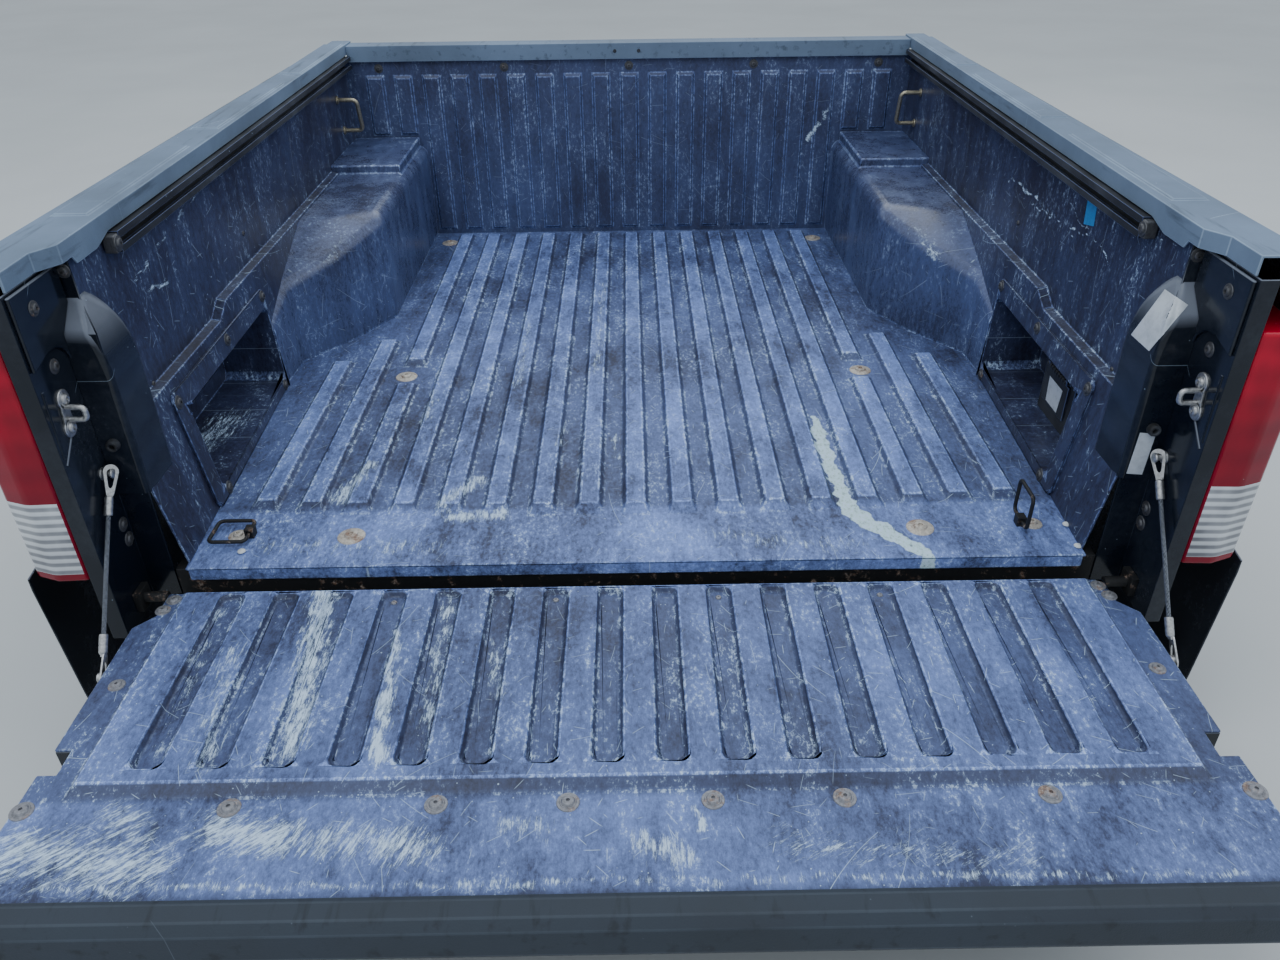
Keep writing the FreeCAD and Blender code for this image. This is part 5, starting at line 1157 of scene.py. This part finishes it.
class BED_OT_cables(BedOperator, bpy.types.Operator):
    """Wire ropes that hold the lowered tailgate, with their end fittings"""

    bl_idname = "load_bed.cables"
    bl_label = "Tailgate cables"

    def build(self):
        for side, sign in SIDES:
            top, foot = deck(sign * 723.5, -8, 173), deck(sign * 723.5, -180, -44)
            rope = piece(f"{side}_rope", self.rope(top, foot), "rope", None, (f"{side}_cable",))
            ends = piece(f"{side}_rope_ends", self.ends(top, foot), "zinc", None)
            for thing in (rope, ends):
                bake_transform(thing)
            stud = bmesh.new()
            turned(stud, CABLE_STUD, deck(sign * 733, -8, 173), (-sign, 0, 0), 22)
            piece(f"{side}_cable_stud", stud, "zinc")
        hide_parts("cable_anchors")

    def ends(self, top, foot):
        """A keyhole plate and a crimped sleeve at the top of the rope, and a sleeve and an eye at its foot."""
        form = bmesh.new()
        for start, end in ((top, foot), (foot, top)):
            ahead = (end - start).normalized()
            lean = math.radians(42) if start is top else 0
            aside = Matrix.Rotation(math.copysign(lean, -start.x), 3, ahead) @ Vector((1, 0, 0))
            aim = Matrix((aside, ahead.cross(aside), ahead)).transposed().to_4x4()
            self.keyhole(form, Matrix.Translation(start) @ aim)
            turned(form, FERRULE, start + ahead * 30 * MM, ahead, 20)
        return form

    def keyhole(self, form, aim):
        """A flat long eye round a stud."""
        part = bmesh.new()
        loops = []
        for radius, low, high in ((10.5, -2, 24), (5.6, 0, 15)):
            made = bmesh.ops.create_circle(
                part, cap_ends=False, radius=radius * MM, segments=32, matrix=Matrix.Rotation(math.pi / 2, 4, "Y")
            )
            for dot in made["verts"]:
                if dot.co.z > 0:
                    dot.co.y *= 0.55
                dot.co.z += (high if dot.co.z > 0 else low) * MM
            loops += list({edge for dot in made["verts"] for edge in dot.link_edges})
        bmesh.ops.bridge_loops(part, edges=loops)
        bmesh.ops.solidify(part, geom=part.faces[:], thickness=2.6 * MM)
        bmesh.ops.translate(part, vec=(1.3 * MM, 0, 0), verts=part.verts)
        bmesh.ops.recalc_face_normals(part, faces=part.faces)
        round_edges(part, 0.5 * MM, 2, 50)
        slab(part, Vector((-1.3, -4, 28)) * MM, Vector((1.3, 4, 33)) * MM)
        bmesh.ops.transform(part, matrix=aim, verts=part.verts)
        joined(form, part)

    def rope(self, top, foot):
        """Six strands laid round each other, extruded a little at a time with a twist."""
        form = bmesh.new()
        run = foot - top
        steps, strands, lay = 52, 6, 0.030
        aim = run.to_track_quat("Z", "Y").to_matrix().to_4x4()
        ends = 0.050
        made = bmesh.ops.create_circle(form, cap_ends=False, radius=0.003, segments=strands * 4)
        for number, dot in enumerate(made["verts"]):
            dot.co *= 1 - 0.36 * (number % 4 == 0)
        ring = list({edge for dot in made["verts"] for edge in dot.link_edges})
        stretch = (run.length - 2 * ends) / steps
        first = ring
        for _ in range(steps):
            ring = pulled(form, ring, (0, 0, stretch))
            bmesh.ops.rotate(
                form, verts=dots_of(ring), cent=(0, 0, 0), matrix=Matrix.Rotation(math.tau * stretch / lay, 3, "Z")
            )
        bmesh.ops.holes_fill(form, edges=first + ring, sides=strands * 4)
        bmesh.ops.recalc_face_normals(form, faces=form.faces)
        shift = Matrix.Translation(top) @ aim @ Matrix.Translation((0, 0, ends))
        bmesh.ops.transform(form, matrix=shift, verts=form.verts)
        return form


class BED_OT_stage(BedOperator, bpy.types.Operator):
    """Pale floor, soft lamps and the camera"""

    bl_idname = "load_bed.stage"
    bl_label = "Stage"

    def build(self):
        low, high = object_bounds()
        form = bmesh.new()
        bmesh.ops.create_grid(form, x_segments=1, y_segments=1, size=30, matrix=Matrix.Translation((0, 0, low.z)))
        mesh = bpy.data.meshes.new("studio_floor")
        form.to_mesh(mesh)
        form.free()
        ground = bpy.data.objects.new("studio_floor", mesh)
        bpy.context.scene.collection.objects.link(ground)
        mesh.materials.append(self.ground_material())
        ground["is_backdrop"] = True
        self.world()
        self.lamp("key_lamp", (-1.6, -2.2, 4.6), (0, 0.1, 0.1), 3.2, 88)
        self.lamp("fill_lamp", (2.6, -1.0, 3.6), (0, 0.2, 0.1), 3.0, 36)
        self.lamp("cab_lamp", (0.3, 3.4, 3.4), (0, 0.2, 0.1), 3.0, 42)
        self.camera()

    def ground_material(self):
        surface = Surface("studio_ground")
        clouds = surface.noise(1.2, detail=3)
        shade = surface.mix(surface.band(clouds, 0.3, 0.7), (0.60, 0.61, 0.62), (0.66, 0.67, 0.68))
        return surface.finish(Base_Color=shade, Roughness=0.8)

    def world(self):
        world = bpy.context.scene.world or bpy.data.worlds.new("studio")
        bpy.context.scene.world = world
        world.use_nodes = True
        tree = world.node_tree
        tree.nodes.clear()
        shown = tree.nodes.new("ShaderNodeBackground")
        shown.inputs[0].default_value = (0.80, 0.87, 0.95, 1)
        shown.inputs[1].default_value = 0.9
        lit = tree.nodes.new("ShaderNodeBackground")
        lit.inputs[0].default_value = (0.82, 0.92, 1.0, 1)
        lit.inputs[1].default_value = 0.75
        path = tree.nodes.new("ShaderNodeLightPath")
        seen = tree.nodes.new("ShaderNodeMath")
        seen.operation = "MAXIMUM"
        both = tree.nodes.new("ShaderNodeMath")
        both.operation = "MAXIMUM"
        blend = tree.nodes.new("ShaderNodeMixShader")
        output = tree.nodes.new("ShaderNodeOutputWorld")
        for source, target in (
            (path.outputs["Is Camera Ray"], seen.inputs[0]), (path.outputs["Is Transmission Ray"], seen.inputs[1]),
            (seen.outputs[0], both.inputs[0]), (path.outputs["Is Glossy Ray"], both.inputs[1]),
            (both.outputs[0], blend.inputs[0]), (lit.outputs[0], blend.inputs[1]), (shown.outputs[0], blend.inputs[2]),
            (blend.outputs[0], output.inputs[0]),
        ):
            tree.links.new(source, target)

    def lamp(self, name, place, target, size, power):
        lamp = bpy.data.lights.new(name, "AREA")
        lamp.shape, lamp.size, lamp.energy, lamp.color = "DISK", size, power, (0.86, 0.94, 1.0)
        thing = bpy.data.objects.new(name, lamp)
        thing.location = place
        thing.rotation_euler = (Vector(target) - Vector(place)).to_track_quat("-Z", "Y").to_euler()
        bpy.context.scene.collection.objects.link(thing)

    def camera(self):
        """The photograph's viewpoint: behind the lowered tailgate, looking down into the bed."""
        yaw, pitch, roll = math.radians(0.36), math.radians(32.64), math.radians(-0.68)
        focal = 984 / 1280
        ahead = Vector((math.sin(yaw) * math.cos(pitch), math.cos(yaw) * math.cos(pitch), -math.sin(pitch)))
        level = Vector((math.cos(yaw), -math.sin(yaw), 0))
        upright = level.cross(ahead)
        right = level * math.cos(roll) + upright * math.sin(roll)
        up = upright * math.cos(roll) - level * math.sin(roll)
        lens = bpy.data.cameras.new("viewpoint")
        lens.sensor_width = 36
        lens.lens = 36 * focal
        lens.clip_start = 0.05
        eye = bpy.data.objects.new("viewpoint", lens)
        turn = Matrix((right, up, -ahead)).transposed().to_4x4()
        eye.matrix_world = Matrix.Translation(deck(-1, -1163, 889)) @ turn
        bpy.context.scene.collection.objects.link(eye)
        bpy.context.scene.camera = eye


OPERATORS = (
    BED_OT_floor, BED_OT_front_wall, BED_OT_side_walls, BED_OT_outlet, BED_OT_rails, BED_OT_tie_downs,
    BED_OT_floor_bolts, BED_OT_posts, BED_OT_tail_lamps, BED_OT_outer_panels, BED_OT_underside,
    BED_OT_tailgate, BED_OT_cables, BED_OT_stage,
)


class BED_PT_panel(bpy.types.Panel):
    """Lists the bed's operators, sizes and colours"""

    bl_label = "Load Bed"
    bl_idname = "BED_PT_panel"
    bl_space_type = "VIEW_3D"
    bl_region_type = "UI"
    bl_category = "Load Bed"

    def draw(self, context):
        for operator in OPERATORS:
            self.layout.operator(operator.bl_idname)
        for group in (context.scene.load_bed_sizes, context.scene.load_bed_colours):
            for key in group.bl_rna.properties.keys():
                if key not in ("rna_type", "name"):
                    self.layout.prop(group, key)


CLASSES = (LoadBedColours, LoadBedSizes, *OPERATORS, BED_PT_panel)


def register():
    for kind in CLASSES:
        bpy.utils.register_class(kind)
    bpy.types.Scene.load_bed_colours = PointerProperty(type=LoadBedColours)
    bpy.types.Scene.load_bed_sizes = PointerProperty(type=LoadBedSizes)


def unregister():
    del bpy.types.Scene.load_bed_sizes
    del bpy.types.Scene.load_bed_colours
    for kind in reversed(CLASSES):
        bpy.utils.unregister_class(kind)


def main():
    """Register the bed's classes and build every group of pieces."""
    register()
    for operator in OPERATORS:
        group, _, name = operator.bl_idname.partition(".")
        getattr(getattr(bpy.ops, group), name)()


if __name__ == "__main__":
    main()
